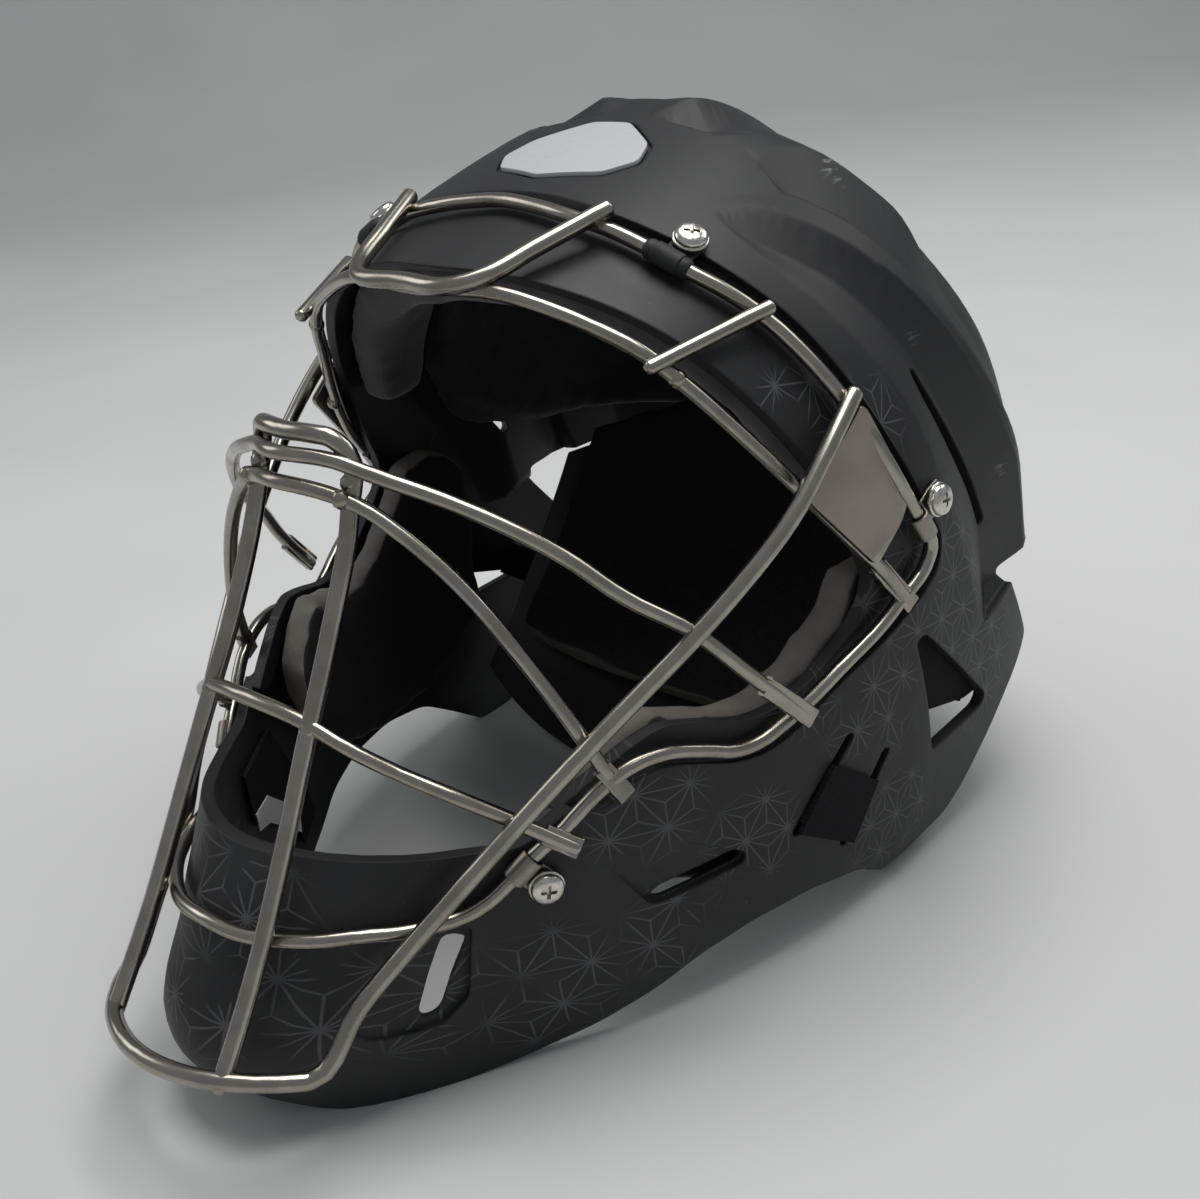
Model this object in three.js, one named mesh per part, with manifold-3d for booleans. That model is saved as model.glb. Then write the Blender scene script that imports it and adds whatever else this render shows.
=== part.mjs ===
// Hockey-style catcher helmet, lying on a table: chin and jaw corners on the table, face up and forward.
// Millimetres, +Z up, the face looks toward -Y, the wearer's left side is +X.  The table top is Z = 0.
// Moulded shell, separate back plate behind the neck, welded steel wire cage held by screwed clips,
// foam pads inside, webbing tabs through the jaw slots.
import * as THREE from 'three';
import Module from 'manifold-3d';
import { mergeVertices } from 'three/addons/utils/BufferGeometryUtils.js';

const manifoldLib = await Module();
manifoldLib.setup();

// ---- driving dimensions ----
const WALL = 4.2;              // moulded shell thickness
const RECESS_DEPTH = 3.2;      // step down to the rim band the cage wire lies in
const WIDEST_Y = 66;           // where across the ears the shell is widest
const JAW_TOP_Z = 126;         // the crown dome starts here
const CROWN_Z = 256;           // top of the crown
const CROWN_LEAN = 19.6;       // how far back the crown's top sits behind the ears
const CROWN_HALF_WIDTH = 122.5;
const FOREHEAD_DEPTH = 178;
const BACK_DEPTH = 115;
const HEAVY_WIRE_R = 2.75;     // nose guard, diagonals and bumper
const LIGHT_WIRE_R = 2.3;      // rim wire and cross wires
const PAD_GAP = 0.5;           // foam stands this far off the shell
const JAW_PAD_THICK = 15;
const BROW_PAD_THICK = 19;
const SCREW_HEAD_R = 5.0;
const SCREW_HEAD_H = 2.6;
const WASHER_R = 5.5;
const WASHER_H = 1.2;
const TAB_THICK = 1.6;
const SLIVER = 0.03;           // cuts that cross at a shallow angle leave faces thinner than this
const COLOURS = {
  shell: 0x2b2c2f, steel: 0x8d867c, screw: 0xc4c2ba, foam: 0x6d655c,
  fabric: 0x1b1a20, webbing: 0x1c1d20, badge: 0xe9ebeb, rubber: 0x161617,
};

// Level sections of the jaw below the crown: the outside of the shell at each height.
const JAW_SECTIONS = [
  // height, half_width, front_depth, back_depth, front_power, back_power, chin_bulge
  [-14, 100, 199, 110, 1.86, 3.6, 10],
  [0, 103.5, 202, 112, 1.86, 3.8, 13],
  [8, 110, 204, 115, 1.77, 3.8, 18],
  [28, 115.5, 207, 117, 1.73, 3.8, 26],
  [56, 119, 206, 117, 1.66, 3.6, 13.5],
  [86, 121.5, 197, 117, 1.72, 3.3, 4],
  [JAW_TOP_Z, CROWN_HALF_WIDTH, FOREHEAD_DEPTH, BACK_DEPTH, 1.8, 3.0, 0],
];

// ---- small maths ----
const clamp = (v, lo, hi) => Math.min(hi, Math.max(lo, v));
const smooth = (a, b, v) => {
  const t = clamp((v - a) / (b - a), 0, 1);
  return t * t * (3 - 2 * t);
};
const mix = (a, b, t) => a + (b - a) * t;

// Monotone cubic through the rows of a table whose first column is the key.
function tableAt(rows, key) {
  const last = rows.length - 1;
  const k = clamp(key, rows[0][0], rows[last][0]);
  let i = 0;
  while (i < last - 1 && k > rows[i + 1][0]) {
    i += 1;
  }
  const span = rows[i + 1][0] - rows[i][0];
  const t = (k - rows[i][0]) / span;
  const rise = (j, c) => (rows[j + 1][c] - rows[j][c]) / (rows[j + 1][0] - rows[j][0]);
  const slope = (j, c) => {
    const before = rise(Math.max(j - 1, 0), c);
    const after = rise(Math.min(j, last - 1), c);
    return before * after <= 0 ? 0 : (2 * before * after) / (before + after);
  };
  return rows[i].slice(1).map((value, column) => {
    const c = column + 1;
    const a = 2 * t ** 3 - 3 * t ** 2 + 1;
    const b = t ** 3 - 2 * t ** 2 + t;
    const d = t ** 3 - t ** 2;
    return a * value + b * span * slope(i, c) + (1 - a) * rows[i + 1][c] + d * span * slope(i + 1, c);
  });
}

// ---- the outside of the shell as a function of direction and height ----
function sectionAt(z) {
  const row = tableAt(JAW_SECTIONS, Math.min(z, JAW_TOP_Z));
  const section = {
    halfWidth: row[0], front: row[1], back: row[2], frontPower: row[3], backPower: row[4], bulge: row[5],
    centreY: WIDEST_Y,
  };
  if (z > JAW_TOP_Z) {
    const t = Math.min((z - JAW_TOP_Z) / (CROWN_Z - JAW_TOP_Z), 1);
    section.halfWidth = CROWN_HALF_WIDTH * (1 - t ** 2.03) ** 0.47;
    section.front = FOREHEAD_DEPTH * (1 - t ** 4) ** 1.2;
    section.back = BACK_DEPTH * (1 - t ** 2.1) ** 0.83;
    section.backPower = 3 - Math.min(1.3 * t, 1);
    section.centreY = WIDEST_Y + CROWN_LEAN * t ** 3.4;
  }
  return section;
}

// turn 0 is the front centre line, a quarter turn is the wearer's left.
function smoothSurface(turn, z) {
  const s = sectionAt(z);
  const side = Math.sin(turn);
  const ahead = Math.cos(turn);
  const blend = smooth(-0.22, 0.22, ahead);
  const power = mix(s.backPower, s.frontPower, blend);
  const depth = mix(s.back, s.front, blend);
  if (s.halfWidth < 1e-6 || depth < 1e-6) {
    return new THREE.Vector3(0, s.centreY, z);
  }
  const u = Math.hypot(side, 0.05) / s.halfWidth;
  const v = Math.abs(ahead) / depth;
  const radius = (u ** power + v ** power) ** (-1 / power);
  const x = radius * side;
  const y = s.centreY - radius * ahead - s.bulge * blend * (1 - smooth(26, 68, Math.abs(x)));
  return new THREE.Vector3(x, y, z);
}

// A point of the shell moved out along the surface by `offset` (negative is inward).
function shellPoint(turn, z, offset) {
  const p = smoothSurface(turn, z);
  const dTurn = 0.01;
  const zStep = z > CROWN_Z - 3 ? -0.4 : 0.4;
  const along = smoothSurface(turn + dTurn, z).sub(smoothSurface(turn - dTurn, z));
  const up = smoothSurface(turn, z + zStep).sub(p).multiplyScalar(Math.sign(zStep));
  const normal = along.cross(up).normalize();
  if (!(normal.lengthSq() > 0.5) || z > CROWN_Z - 0.01) {
    normal.set(0, 0, 1);
  }
  return p.addScaledVector(normal, offset);
}

// ---- closed bodies ----
function toManifold(geometry) {
  const bare = new THREE.BufferGeometry();
  bare.setAttribute('position', geometry.getAttribute('position').clone());
  if (geometry.index) {
    bare.setIndex(geometry.index.clone());
  }
  const welded = mergeVertices(bare, 1e-4);
  return new manifoldLib.Manifold(new manifoldLib.Mesh({
    numProp: 3,
    vertProperties: new Float32Array(welded.getAttribute('position').array),
    triVerts: new Uint32Array(welded.index.array),
  }));
}

function toGeometry(body) {
  const mesh = body.getMesh();
  const geometry = new THREE.BufferGeometry();
  geometry.setAttribute('position', new THREE.BufferAttribute(new Float32Array(mesh.vertProperties), 3));
  geometry.setIndex(new THREE.BufferAttribute(new Uint32Array(mesh.triVerts), 1));
  geometry.computeVertexNormals();
  return geometry;
}

// A body from points and triangles; the triangles are turned round if they came out facing inward.
function fromFaces(points, faces) {
  const geometry = new THREE.BufferGeometry();
  geometry.setAttribute('position', new THREE.Float32BufferAttribute(points.flatMap((p) => [p.x, p.y, p.z]), 3));
  geometry.setIndex(faces.flat());
  const body = toManifold(geometry);
  return body.volume() < 0 ? fromFaces(points, faces.map(([a, b, c]) => [a, c, b])) : body;
}

// Rings of points, all the same length, joined into a tube.  Each end is closed by a fan from its
// middle, or, where the ring is a thin bent band, by a strip between its two long sides.
function loft(rings, bandEnds = false) {
  const n = rings[0].length;
  const points = rings.flat();
  const faces = [];
  for (let r = 0; r < rings.length - 1; r += 1) {
    for (let i = 0; i < n; i += 1) {
      const a = r * n + i;
      const b = r * n + ((i + 1) % n);
      // the diagonals lean opposite ways on the two sides, so a symmetric ring gives a symmetric body
      if (i < n / 2) {
        faces.push([a, b, b + n], [a, b + n, a + n]);
      } else {
        faces.push([a, b, a + n], [b, b + n, a + n]);
      }
    }
  }
  const top = (rings.length - 1) * n;
  if (bandEnds) {
    for (let i = 0; i < n / 2 - 1; i += 1) {
      const across = n - 1 - i;
      faces.push([i + 1, i, across], [i + 1, across, across - 1]);
      faces.push([top + i, top + i + 1, top + across - 1], [top + i, top + across - 1, top + across]);
    }
    return fromFaces(points, faces);
  }
  const centre = (ring) => ring.reduce((sum, p) => sum.add(p), new THREE.Vector3()).divideScalar(n);
  const low = points.push(centre(rings[0])) - 1;
  const high = points.push(centre(rings[rings.length - 1])) - 1;
  for (let i = 0; i < n; i += 1) {
    const next = (i + 1) % n;
    faces.push([next, i, low], [top + i, top + next, high]);
  }
  return fromFaces(points, faces);
}

// The solid inside the shell surface at an offset, from below the table to the crown.
function shellSolid(offset, around, floorZ) {
  const heights = [floorZ];
  for (let z = 0; z < JAW_TOP_Z - 1; z += JAW_TOP_Z / 8) {
    heights.push(z);
  }
  const domeSteps = 12;
  for (let i = 0; i < domeSteps; i += 1) {
    heights.push(JAW_TOP_Z + (CROWN_Z - JAW_TOP_Z) * Math.sin((i / domeSteps) * Math.PI * 0.5));
  }
  const rings = heights.map((z) => Array.from({ length: around }, (_, i) => {
    const p = shellPoint((i / around) * Math.PI * 2, Math.max(z, JAW_SECTIONS[0][0]), offset);
    return z < JAW_SECTIONS[0][0] ? p.setZ(z) : p;
  }));
  return loft(rings);
}

// A side-view outline of [y, z] corners, carried straight across from one X to another.
function acrossPrism(outline, xFrom, xTo) {
  const shape = new THREE.Shape(outline.map(([y, z]) => new THREE.Vector2(y, z)));
  const geometry = new THREE.ExtrudeGeometry(shape, { depth: xTo - xFrom, bevelEnabled: false, steps: 1 });
  // the outline plane's own axes become Y and Z, the pull direction becomes X
  geometry.applyMatrix4(new THREE.Matrix4().makeBasis(
    new THREE.Vector3(0, 1, 0), new THREE.Vector3(0, 0, 1), new THREE.Vector3(1, 0, 0),
  ));
  geometry.translate(xFrom, 0, 0);
  return toManifold(geometry);
}

// Find the shell's outside at a side-view place (y, z) on the wearer's left.
function outsideAt(y, z) {
  let low = 0.0;
  let high = Math.PI;
  for (let i = 0; i < 40; i += 1) {
    const middle = (low + high) / 2;
    if (smoothSurface(middle, z).y < y) {
      low = middle;
    } else {
      high = middle;
    }
  }
  return { turn: low, z };
}
const onShell = (y, z, offset) => {
  const at = outsideAt(y, z);
  return shellPoint(at.turn, at.z, offset);
};

// A pocket through the left wall: corners [y, z, depth] in order; the floor follows the depths.
function pocket(corners) {
  const n = corners.length;
  const points = [
    ...corners.map(([y, z]) => onShell(y, z, 8)),
    ...corners.map(([y, z, depth]) => onShell(y, z, -depth)),
  ];
  const faces = [];
  for (let i = 0; i < n; i += 1) {
    const j = (i + 1) % n;
    faces.push([i, j, j + n], [i, j + n, i + n]);
    if (i > 1) {
      faces.push([0, i, i - 1], [n, n + i - 1, n + i]);
    }
  }
  return fromFaces(points, faces);
}
// A long cut can leave a crumb at its end: the part is the largest body.
const withoutCrumbs = (body) => body.decompose().sort((a, b) => b.volume() - a.volume())[0];
const mirror = (body) => body.mirror([1, 0, 0]);
const bothSides = (body) => body.add(mirror(body));

// A bent round wire: smooth curve through points, closed or with flat ends.
function wire(points, radius, { sides = 8, steps = 2, closed = false, tension = 0.5 } = {}) {
  const curve = new THREE.CatmullRomCurve3(points, closed, 'catmullrom', tension);
  const count = (closed ? points.length : points.length - 1) * steps;
  const rings = [];
  const frames = curve.computeFrenetFrames(count, closed);
  for (let i = 0; i < (closed ? count : count + 1); i += 1) {
    const centre = curve.getPoint(i / count);
    const tangent = curve.getTangent(i / count);
    const side = frames.normals[i].clone().addScaledVector(tangent, -frames.normals[i].dot(tangent)).normalize();
    const other = new THREE.Vector3().crossVectors(tangent, side);
    rings.push(Array.from({ length: sides }, (_, k) => {
      const a = (k / sides) * Math.PI * 2;
      return centre.clone().addScaledVector(side, radius * Math.cos(a)).addScaledVector(other, radius * Math.sin(a));
    }));
  }
  if (!closed) {
    return loft(rings);
  }
  const faces = [];
  const n = sides;
  for (let r = 0; r < rings.length; r += 1) {
    const next = (r + 1) % rings.length;
    for (let i = 0; i < n; i += 1) {
      const j = (i + 1) % n;
      faces.push([r * n + i, r * n + j, next * n + j], [r * n + i, next * n + j, next * n + i]);
    }
  }
  return fromFaces(rings.flat(), faces);
}
const vectors = (rows) => rows.map(([x, y, z]) => new THREE.Vector3(x, y, z));
// A symmetric wire from its left half, which starts on the centre line and runs outward.
const bothHalves = (rows) => vectors([...rows.slice(1).map(([x, y, z]) => [-x, y, z]).reverse(), ...rows]);

// ---- shell ----
// Side-view outlines [y, z].  The face opening follows the brow, the temple, the jaw dip and the chin.
const FACE_RIM = [
  [-129, 86], [-115, 83], [-104, 81], [-92, 80], [-84, 79], [-68, 89], [-51, 100], [-41, 104],
  [-30, 101], [-16, 96], [-6, 96], [8, 101], [23, 111], [30, 118], [32, 126], [28, 136], [22, 154],
  [15, 170], [4, 193], [-4, 208], [-10, 217], [-15, 223], [-18, 226],
];
const FACE_OPENING = [...FACE_RIM, [-30, 228], [-240, 228], [-240, 86]];
const RIM_BAND = [
  [-58, 88], [-52, 92], [-44, 93], [-34, 89.5], [-24, 85.5], [-14, 84.5], [-5, 87], [16, 98],
  [34, 104], [47, 110], [60, 117], [63, 128], [54, 144], [44, 168], [37, 186], [30, 205], [23, 219],
  [19, 228], [17, 235], [19, 240], [20, 262], [-240, 262], [-240, 96], [-80, 96], [-68, 86], [-62, 85],
];
// Everything below this line is open: the jaw's lower edge, its rear slope and the crown's back rim.
const UNDER_LINE = [
  [-240, -60], [-240, 15], [-168, 13], [-154, 8], [-144, 2], [-138, 0], [-106, 0], [-90, 2], [-70, 6], [-52, 12],
  [-38, 19], [-20, 23], [3, 23], [26, 18], [42, 7], [52, 0], [67, 0], [76, 2], [86, 12], [98, 26], [114, 41],
  [128, 50], [136, 54.5], [138, 57], [130, 67], [119, 82], [111, 94], [128, 94.5], [160, 99], [240, 104],
  [240, -60],
];
const WINDOW = [[48, 97, 14], [53, 98, 14], [98, 52, 14], [95, 48, 14], [61, 48, 14]];
const VENT_SLOT = [
  [68, 180, 15], [69, 171, 15], [79, 150, 15], [90, 131, 15], [101, 114, 15],
  [105, 116, 15], [96, 135, 15], [85, 155, 15], [75, 174, 15], [72, 181, 15],
];
const JAW_VENT_POCKET = [[-66, 70, -1], [-51, 71, -1], [-21, 51, 2], [-22, 47, 2.8], [-49, 45, 2.8], [-53, 46, 2.6]];
const JAW_VENT_SLOT = [[-49, 50.5, 14], [-24, 52.5, 14], [-21.5, 50, 14], [-23, 47.8, 14], [-49.5, 45.6, 14], [-52, 48, 14]];
const CHIN_POCKET = [
  [-144, 52, -1], [-126, 56, 0], [-108, 60, 2.2], [-99, 57, 2.6], [-104, 34, 2.6], [-113, 27, 2.2],
  [-131, 30, 1.4], [-141, 40, 0],
];
const CHIN_SLOT = [
  [-104, 55, 14], [-100.5, 52.5, 14], [-112, 31, 14], [-116.5, 30, 14], [-118, 33.5, 14], [-107, 55, 14],
];
const FRONT_STRAP_SLOT = [[17, 78, 14], [20.5, 76, 14], [-1.8, 47, 14], [-5, 49, 14]];
const REAR_STRAP_SLOT = [[34, 64, 14], [37.5, 62, 14], [17.8, 33, 14], [14.5, 35, 14]];
const AROUND = 54;

// ---- crown steps: the crown drops outward in overlapping scales that fan backward ----
// A row places one cross-section of a step on the left side.  Each place is a Y and an angle from
// straight up about RIDGE_PIVOT_Z: where the scale starts to rise, its crest, the foot of the wall
// below the crest, and where the hollow beyond has run out to the smooth surface again.
const RIDGE_PIVOT_Z = 130;
const RIDGES = {
  // along, rise_y, rise_angle, crest_y, crest_angle, foot_y, foot_angle, run_y, run_angle, lip, depth
  top: [
    [0, 74, 3, 73, 5, 71.5, 8, 70.5, 10.5, 0, 0],
    [0.12, 84, 2, 82, 8, 72, 13.5, 69, 18, 1.2, 1.2],
    [0.4, 108, 3, 106, 14, 92, 22, 82, 25, 3.6, 1.0],
    [0.65, 142, 14, 134, 25, 118, 33, 108, 36, 3, 2],
    [0.85, 161, 38, 154, 47, 142, 54, 134, 54, 0.6, 2.4],
    [1, 168, 58, 162, 62, 154, 68, 148, 68, 0, 0],
  ],
  upper: [
    [0, 68, 22, 66, 26.5, 64, 29, 62.5, 31.5, 0, 0],
    [0.12, 80, 22, 74, 27.3, 65, 33.5, 58, 38, 0.6, 1.5],
    [0.35, 100, 25, 93, 31, 78, 40.5, 68, 44.5, 2, 3.2],
    [0.55, 121, 36, 113, 41, 92.5, 51, 82, 53, 2.6, 4.6],
    [0.75, 140, 56, 131, 60, 106, 66.5, 99, 65.5, -5, 6.8],
    [0.9, 158, 80, 149, 82, 126, 85.5, 120, 83.5, -3.6, 6],
    [1, 168, 108, 160, 108, 141, 108, 134, 106, 0, 5],
  ],
  side: [
    [0, 37, 28, 36, 30.7, 35, 33.5, 34, 36, 0, 0],
    [0.12, 54, 31, 46, 34, 40, 38.7, 35, 43, 0.4, 1.8],
    [0.3, 72, 41, 65, 45.3, 56, 48.5, 44, 56, 0.6, 3.8],
    [0.5, 92, 57, 87, 59.5, 72, 60.5, 56, 70, 0, 5.6],
    [0.7, 113, 75, 108, 76, 87, 77, 68, 88, -1.5, 7],
    [0.88, 130, 91, 124, 91.5, 99, 92, 80, 101, 0, 7],
    [1, 136, 108, 131, 108, 106, 108, 90, 114, 0, 7],
  ],
};
const RIDGE_STATIONS = 10;
const RIDGE_CLEARANCE = 8;     // the cutter reaches this far above the surface
const RIDGE_FADE = 0.3;
const RIDGE_ROOT = 12;         // the filler reaches this far below it

// The place on the left half at a given Y whose angle from straight up is the one asked for.
function ridgePoint(y, angle, offset) {
  let low = 84;
  let high = CROWN_Z - 0.05;
  for (let i = 0; i < 30; i += 1) {
    const z = (low + high) / 2;
    const p = onShell(y, z, 0);
    if (THREE.MathUtils.radToDeg(Math.atan2(p.x, z - RIDGE_PIVOT_Z)) > angle) {
      low = z;
    } else {
      high = z;
    }
  }
  return onShell(y, low, offset);
}
// One step's profile, closed above it (to cut the space away) or below it (to fill the scale's rise).
function ridgeStep(rows, inward, closeAt) {
  // at its ends the cutter fades out above the surface and the filler below it
  const fade = closeAt > 0 ? RIDGE_FADE : -RIDGE_FADE;
  const rings = Array.from({ length: RIDGE_STATIONS + 1 }, (_, i) => {
    const [riseY, riseAngle, crestY, crestAngle, footY, footAngle, runY, runAngle, lip, depth] = (
      tableAt(rows, i / RIDGE_STATIONS)
    );
    const ease = i === 0 || i === RIDGE_STATIONS ? fade : 0;
    const hollow = [mix(footY, runY, 0.45), mix(footAngle, runAngle, 0.45)];
    return [
      ridgePoint(riseY, riseAngle, closeAt - inward),
      ridgePoint(riseY, riseAngle, fade - inward),
      ridgePoint(crestY, crestAngle, lip + ease - inward),
      ridgePoint(footY, footAngle, ease - depth - inward),
      ridgePoint(...hollow, ease - depth * 0.5 - inward),
      ridgePoint(runY, runAngle, fade - inward),
      ridgePoint(runY, runAngle, closeAt - inward),
    ];
  });
  return loft(rings);
}
const ridgeBody = (rows, inward, closeAt) => bothSides(ridgeStep(rows, inward, closeAt));

// ---- the shell body ----
const outer = shellSolid(0, AROUND, -40);
const band = acrossPrism(RIM_BAND, -160, 160);
// inside, the step follows one wall thickness further out, so the wall keeps its strength
const innerBand = acrossPrism(RIM_BAND.map(([y, z]) => (
  z > 125 ? [y > -200 ? y + WALL : y, z] : [y, z - WALL * 0.7]
)), -160, 160);
let steppedOuter = outer.subtract(band).add(shellSolid(-RECESS_DEPTH, AROUND, -40));
for (const rows of Object.values(RIDGES)) {
  steppedOuter = steppedOuter.add(ridgeBody(rows, 0, -RIDGE_ROOT)).subtract(ridgeBody(rows, 0, RIDGE_CLEARANCE));
}
const ribs = (inward) => Object.values(RIDGES)
  .map((rows) => ridgeBody(rows, inward, RIDGE_CLEARANCE))
  .reduce((sum, body) => sum.add(body));
const cavity = shellSolid(-WALL, AROUND, -50).subtract(innerBand)
  .add(shellSolid(-WALL - RECESS_DEPTH, AROUND, -50)).subtract(ribs(WALL));
let shell = steppedOuter.subtract(cavity)
  .subtract(acrossPrism(FACE_OPENING, -170, 170))
  .subtract(acrossPrism(UNDER_LINE, -170, 170));
const leftCuts = [
  WINDOW, VENT_SLOT, JAW_VENT_POCKET, JAW_VENT_SLOT, CHIN_POCKET, CHIN_SLOT, FRONT_STRAP_SLOT, REAR_STRAP_SLOT,
];
for (const corners of leftCuts) {
  shell = shell.subtract(bothSides(pocket(corners)));
}
shell = withoutCrumbs(shell).simplify(SLIVER);

// ---- forehead badge and its seat ----
const BADGE_HALF = [[7, 67], [24, 54], [28, 46], [21, 37], [0, 30]];
const BADGE_THICK = 1.4;
const BADGE_SINK = 0.6;
const badgeOutline = [...BADGE_HALF, ...BADGE_HALF.slice(0, -1).reverse().map(([x, y]) => [-x, y])];
function columnOver(outline, grow) {
  const shape = new THREE.Shape(outline.map(([x, y]) => {
    const middleY = 48;
    const reach = Math.hypot(x, y - middleY);
    const k = (reach + grow) / reach;
    return new THREE.Vector2(x * k, middleY + (y - middleY) * k);
  }));
  const geometry = new THREE.ExtrudeGeometry(shape, { depth: 60, bevelEnabled: false, steps: 1 });
  geometry.translate(0, 0, 220);
  return toManifold(geometry);
}
const CAP_AROUND = 40;
const capSolid = (offset) => shellSolid(offset, CAP_AROUND, 100);
const badge = columnOver(badgeOutline, 0).intersect(
  capSolid(BADGE_THICK - BADGE_SINK).subtract(capSolid(-BADGE_SINK)),
);
shell = shell.subtract(columnOver(badgeOutline, 0.4).intersect(capSolid(4).subtract(capSolid(-BADGE_SINK - 0.6))));

// ---- back plate: closes the neck between the jaw's rear corners ----
const PLATE_THICK = 3.6;
const PLATE_HALF_WIDTH = 102;
// across runs -1..1 from side to side, up runs 0..1 from the nape rim to the crown's back rim
function platePoint(across, up, inward) {
  const bow = across ** 2;
  const bottom = new THREE.Vector3(PLATE_HALF_WIDTH * across, 48 + 16 * bow, 1 + 18 * bow ** 2);
  const top = new THREE.Vector3((PLATE_HALF_WIDTH - 10) * across, 166 - 46 * bow ** 1.5, 112 - 12 * bow);
  const p = bottom.lerp(top, up);
  const swell = 15 * Math.sin(Math.PI * up) ** 0.8 * (1 - 0.6 * bow);
  const outward = new THREE.Vector3(0.5 * across, 0.62, -0.72).normalize();
  return p.addScaledVector(outward, swell - inward);
}
function plateSlab(from, to, acrossRange, upRange, acrossSteps, upSteps, inset = () => 0) {
  const rings = [];
  for (let j = 0; j <= upSteps; j += 1) {
    const up = mix(upRange[0], upRange[1], j / upSteps);
    const ring = [];
    for (let i = 0; i <= acrossSteps; i += 1) {
      ring.push(platePoint(mix(acrossRange[0], acrossRange[1], i / acrossSteps), up, from));
    }
    for (let i = acrossSteps; i >= 0; i -= 1) {
      const across = mix(acrossRange[0], acrossRange[1], i / acrossSteps);
      ring.push(platePoint(across, up, to - inset(across, up)));
    }
    rings.push(ring);
  }
  return loft(rings, true);
}
const backPlate = plateSlab(0, PLATE_THICK, [-1, 1], [0, 1], 14, 7);

// ---- cage wires, left side and centre; x >= 0 ----
const RIM_WIRE = [
  [0, 12, 238.8], [15, 10.5, 238], [30, 9, 236], [44, 9.5, 233], [58, 10.5, 228], [71, 12.5, 221.5], [80.5, 16.5, 215.5],
  [91, 22, 206], [101.5, 27, 193.5], [108, 31, 183], [115, 37, 168], [120, 43, 152], [122, 50, 138],
  [122.6, 55, 128], [122, 52, 122], [120.5, 41, 116], [118.5, 31, 110], [115.5, 15, 104], [111.5, 1, 97],
  [108, -8, 92.5], [105.5, -15, 90], [102.5, -23.5, 90], [98.3, -33.5, 94], [93.5, -44, 97.5], [89, -54, 97.5],
  [84.2, -64.7, 93], [80.8, -71, 88], [78, -75.5, 83.5], [73.2, -83, 78], [67.6, -91.6, 69.6], [63.8, -97.5, 65.3],
  [60, -103, 63.2], [56.5, -108.5, 63], [50, -118, 63.5], [43, -126.5, 65], [36, -134, 65.4], [27, -140.7, 66],
  [14, -147, 67], [0, -148.7, 68.2],
];
const BROW_WIRE = [
  [0, -28, 222], [16, -28, 223], [31, -26, 222.5], [45, -22, 218.5], [58, -17.5, 213], [71, -13, 206],
  [80, -8, 197], [90, 0, 183], [100, 8, 168], [110.5, 18, 150], [115.2, 25, 139], [118.8, 32, 129.5], [121, 41, 116],
];
const BUMPER = [[0, -33, 225.5], [21, -32.5, 225.5], [26, -28, 226.5], [34, -10, 231.8], [43, 12, 238.2]];
const SHORT_BAR = [[92.5, 20.9, 210.7], [77, -16, 202.5]];
const UPPER_EYE_WIRE = [
  [0, -90, 192], [17, -84, 190], [29, -80, 186], [51, -70, 177], [75, -57, 161.5], [87, -48, 148],
  [99, -35, 134.5], [109, -22, 116], [116, -7, 97],
];
const LOWER_EYE_WIRE = [
  [0, -92, 184], [17, -87, 181], [27, -83.5, 177], [35, -81, 171.5], [52, -76, 156], [68, -71, 134],
  [80, -66, 112], [85.5, -62, 97],
];
const MOUTH_WIRE = [[0, -117, 126], [24, -114, 122], [34, -111, 116.5], [46, -104, 108], [60, -96, 100],
  [70, -87, 91], [82, -75, 78.5]];
const DIAGONAL = [
  [112, 32, 184], [113, 16, 173], [112, -3, 158], [107, -20, 145], [100.5, -36, 133], [92, -53, 120],
  [84, -68, 108], [74, -87, 92], [65, -104, 77], [56, -119, 62.5], [50, -136, 50], [45, -154, 34],
  [42, -158, 34.8], [35, -165, 36.3], [24, -173, 38], [12, -177.5, 38.8], [0, -179, 39],
];
const NOSE_GUARD = [
  [0, -88, 198], [8, -86, 198.5], [15, -82, 197.5], [20, -78.5, 193], [21, -84, 176], [22, -101, 143], [23.5, -118, 116],
  [25, -134, 90], [26, -150, 65], [27, -171.5, 36],
];
const FLAT_END_HALF_WIDTH = 3.4;
const FLAT_END_HALF_THICK = 1.4;
const SIDE_SHEET = [[113, 34, 181], [119, 44, 156], [120.6, 46, 149], [120.8, 40.5, 142], [119.5, 28, 132], [111.5, 6, 160]];
const SHEET_HALF = 0.9;

// A pressed-flat wire end or a strip: an oblong bar along a path, flat side facing `up`.
function strip(rows, up, halfWidth, halfThick) {
  const points = vectors(rows);
  const rings = points.map((p, i) => {
    const along = points[Math.min(i + 1, points.length - 1)].clone().sub(points[Math.max(i - 1, 0)]).normalize();
    const across = new THREE.Vector3().crossVectors(along, new THREE.Vector3(...up)).normalize();
    const thick = new THREE.Vector3().crossVectors(across, along);
    return [[1, 1], [-1, 1], [-1, -1], [1, -1]].map(([a, b]) => p.clone()
      .addScaledVector(across, a * halfWidth).addScaledVector(thick, b * halfThick));
  });
  return loft(rings);
}
function sheet(rows, halfThick) {
  const points = vectors(rows);
  const middle = points.reduce((sum, p) => sum.add(p), new THREE.Vector3()).divideScalar(points.length);
  const normal = new THREE.Vector3();
  points.forEach((p, i) => {
    const next = points[(i + 1) % points.length];
    normal.add(new THREE.Vector3().crossVectors(p.clone().sub(middle), next.clone().sub(middle)));
  });
  normal.normalize();
  return loft([-halfThick, halfThick].map((t) => points.map((p) => p.clone().addScaledVector(normal, t))));
}
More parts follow.
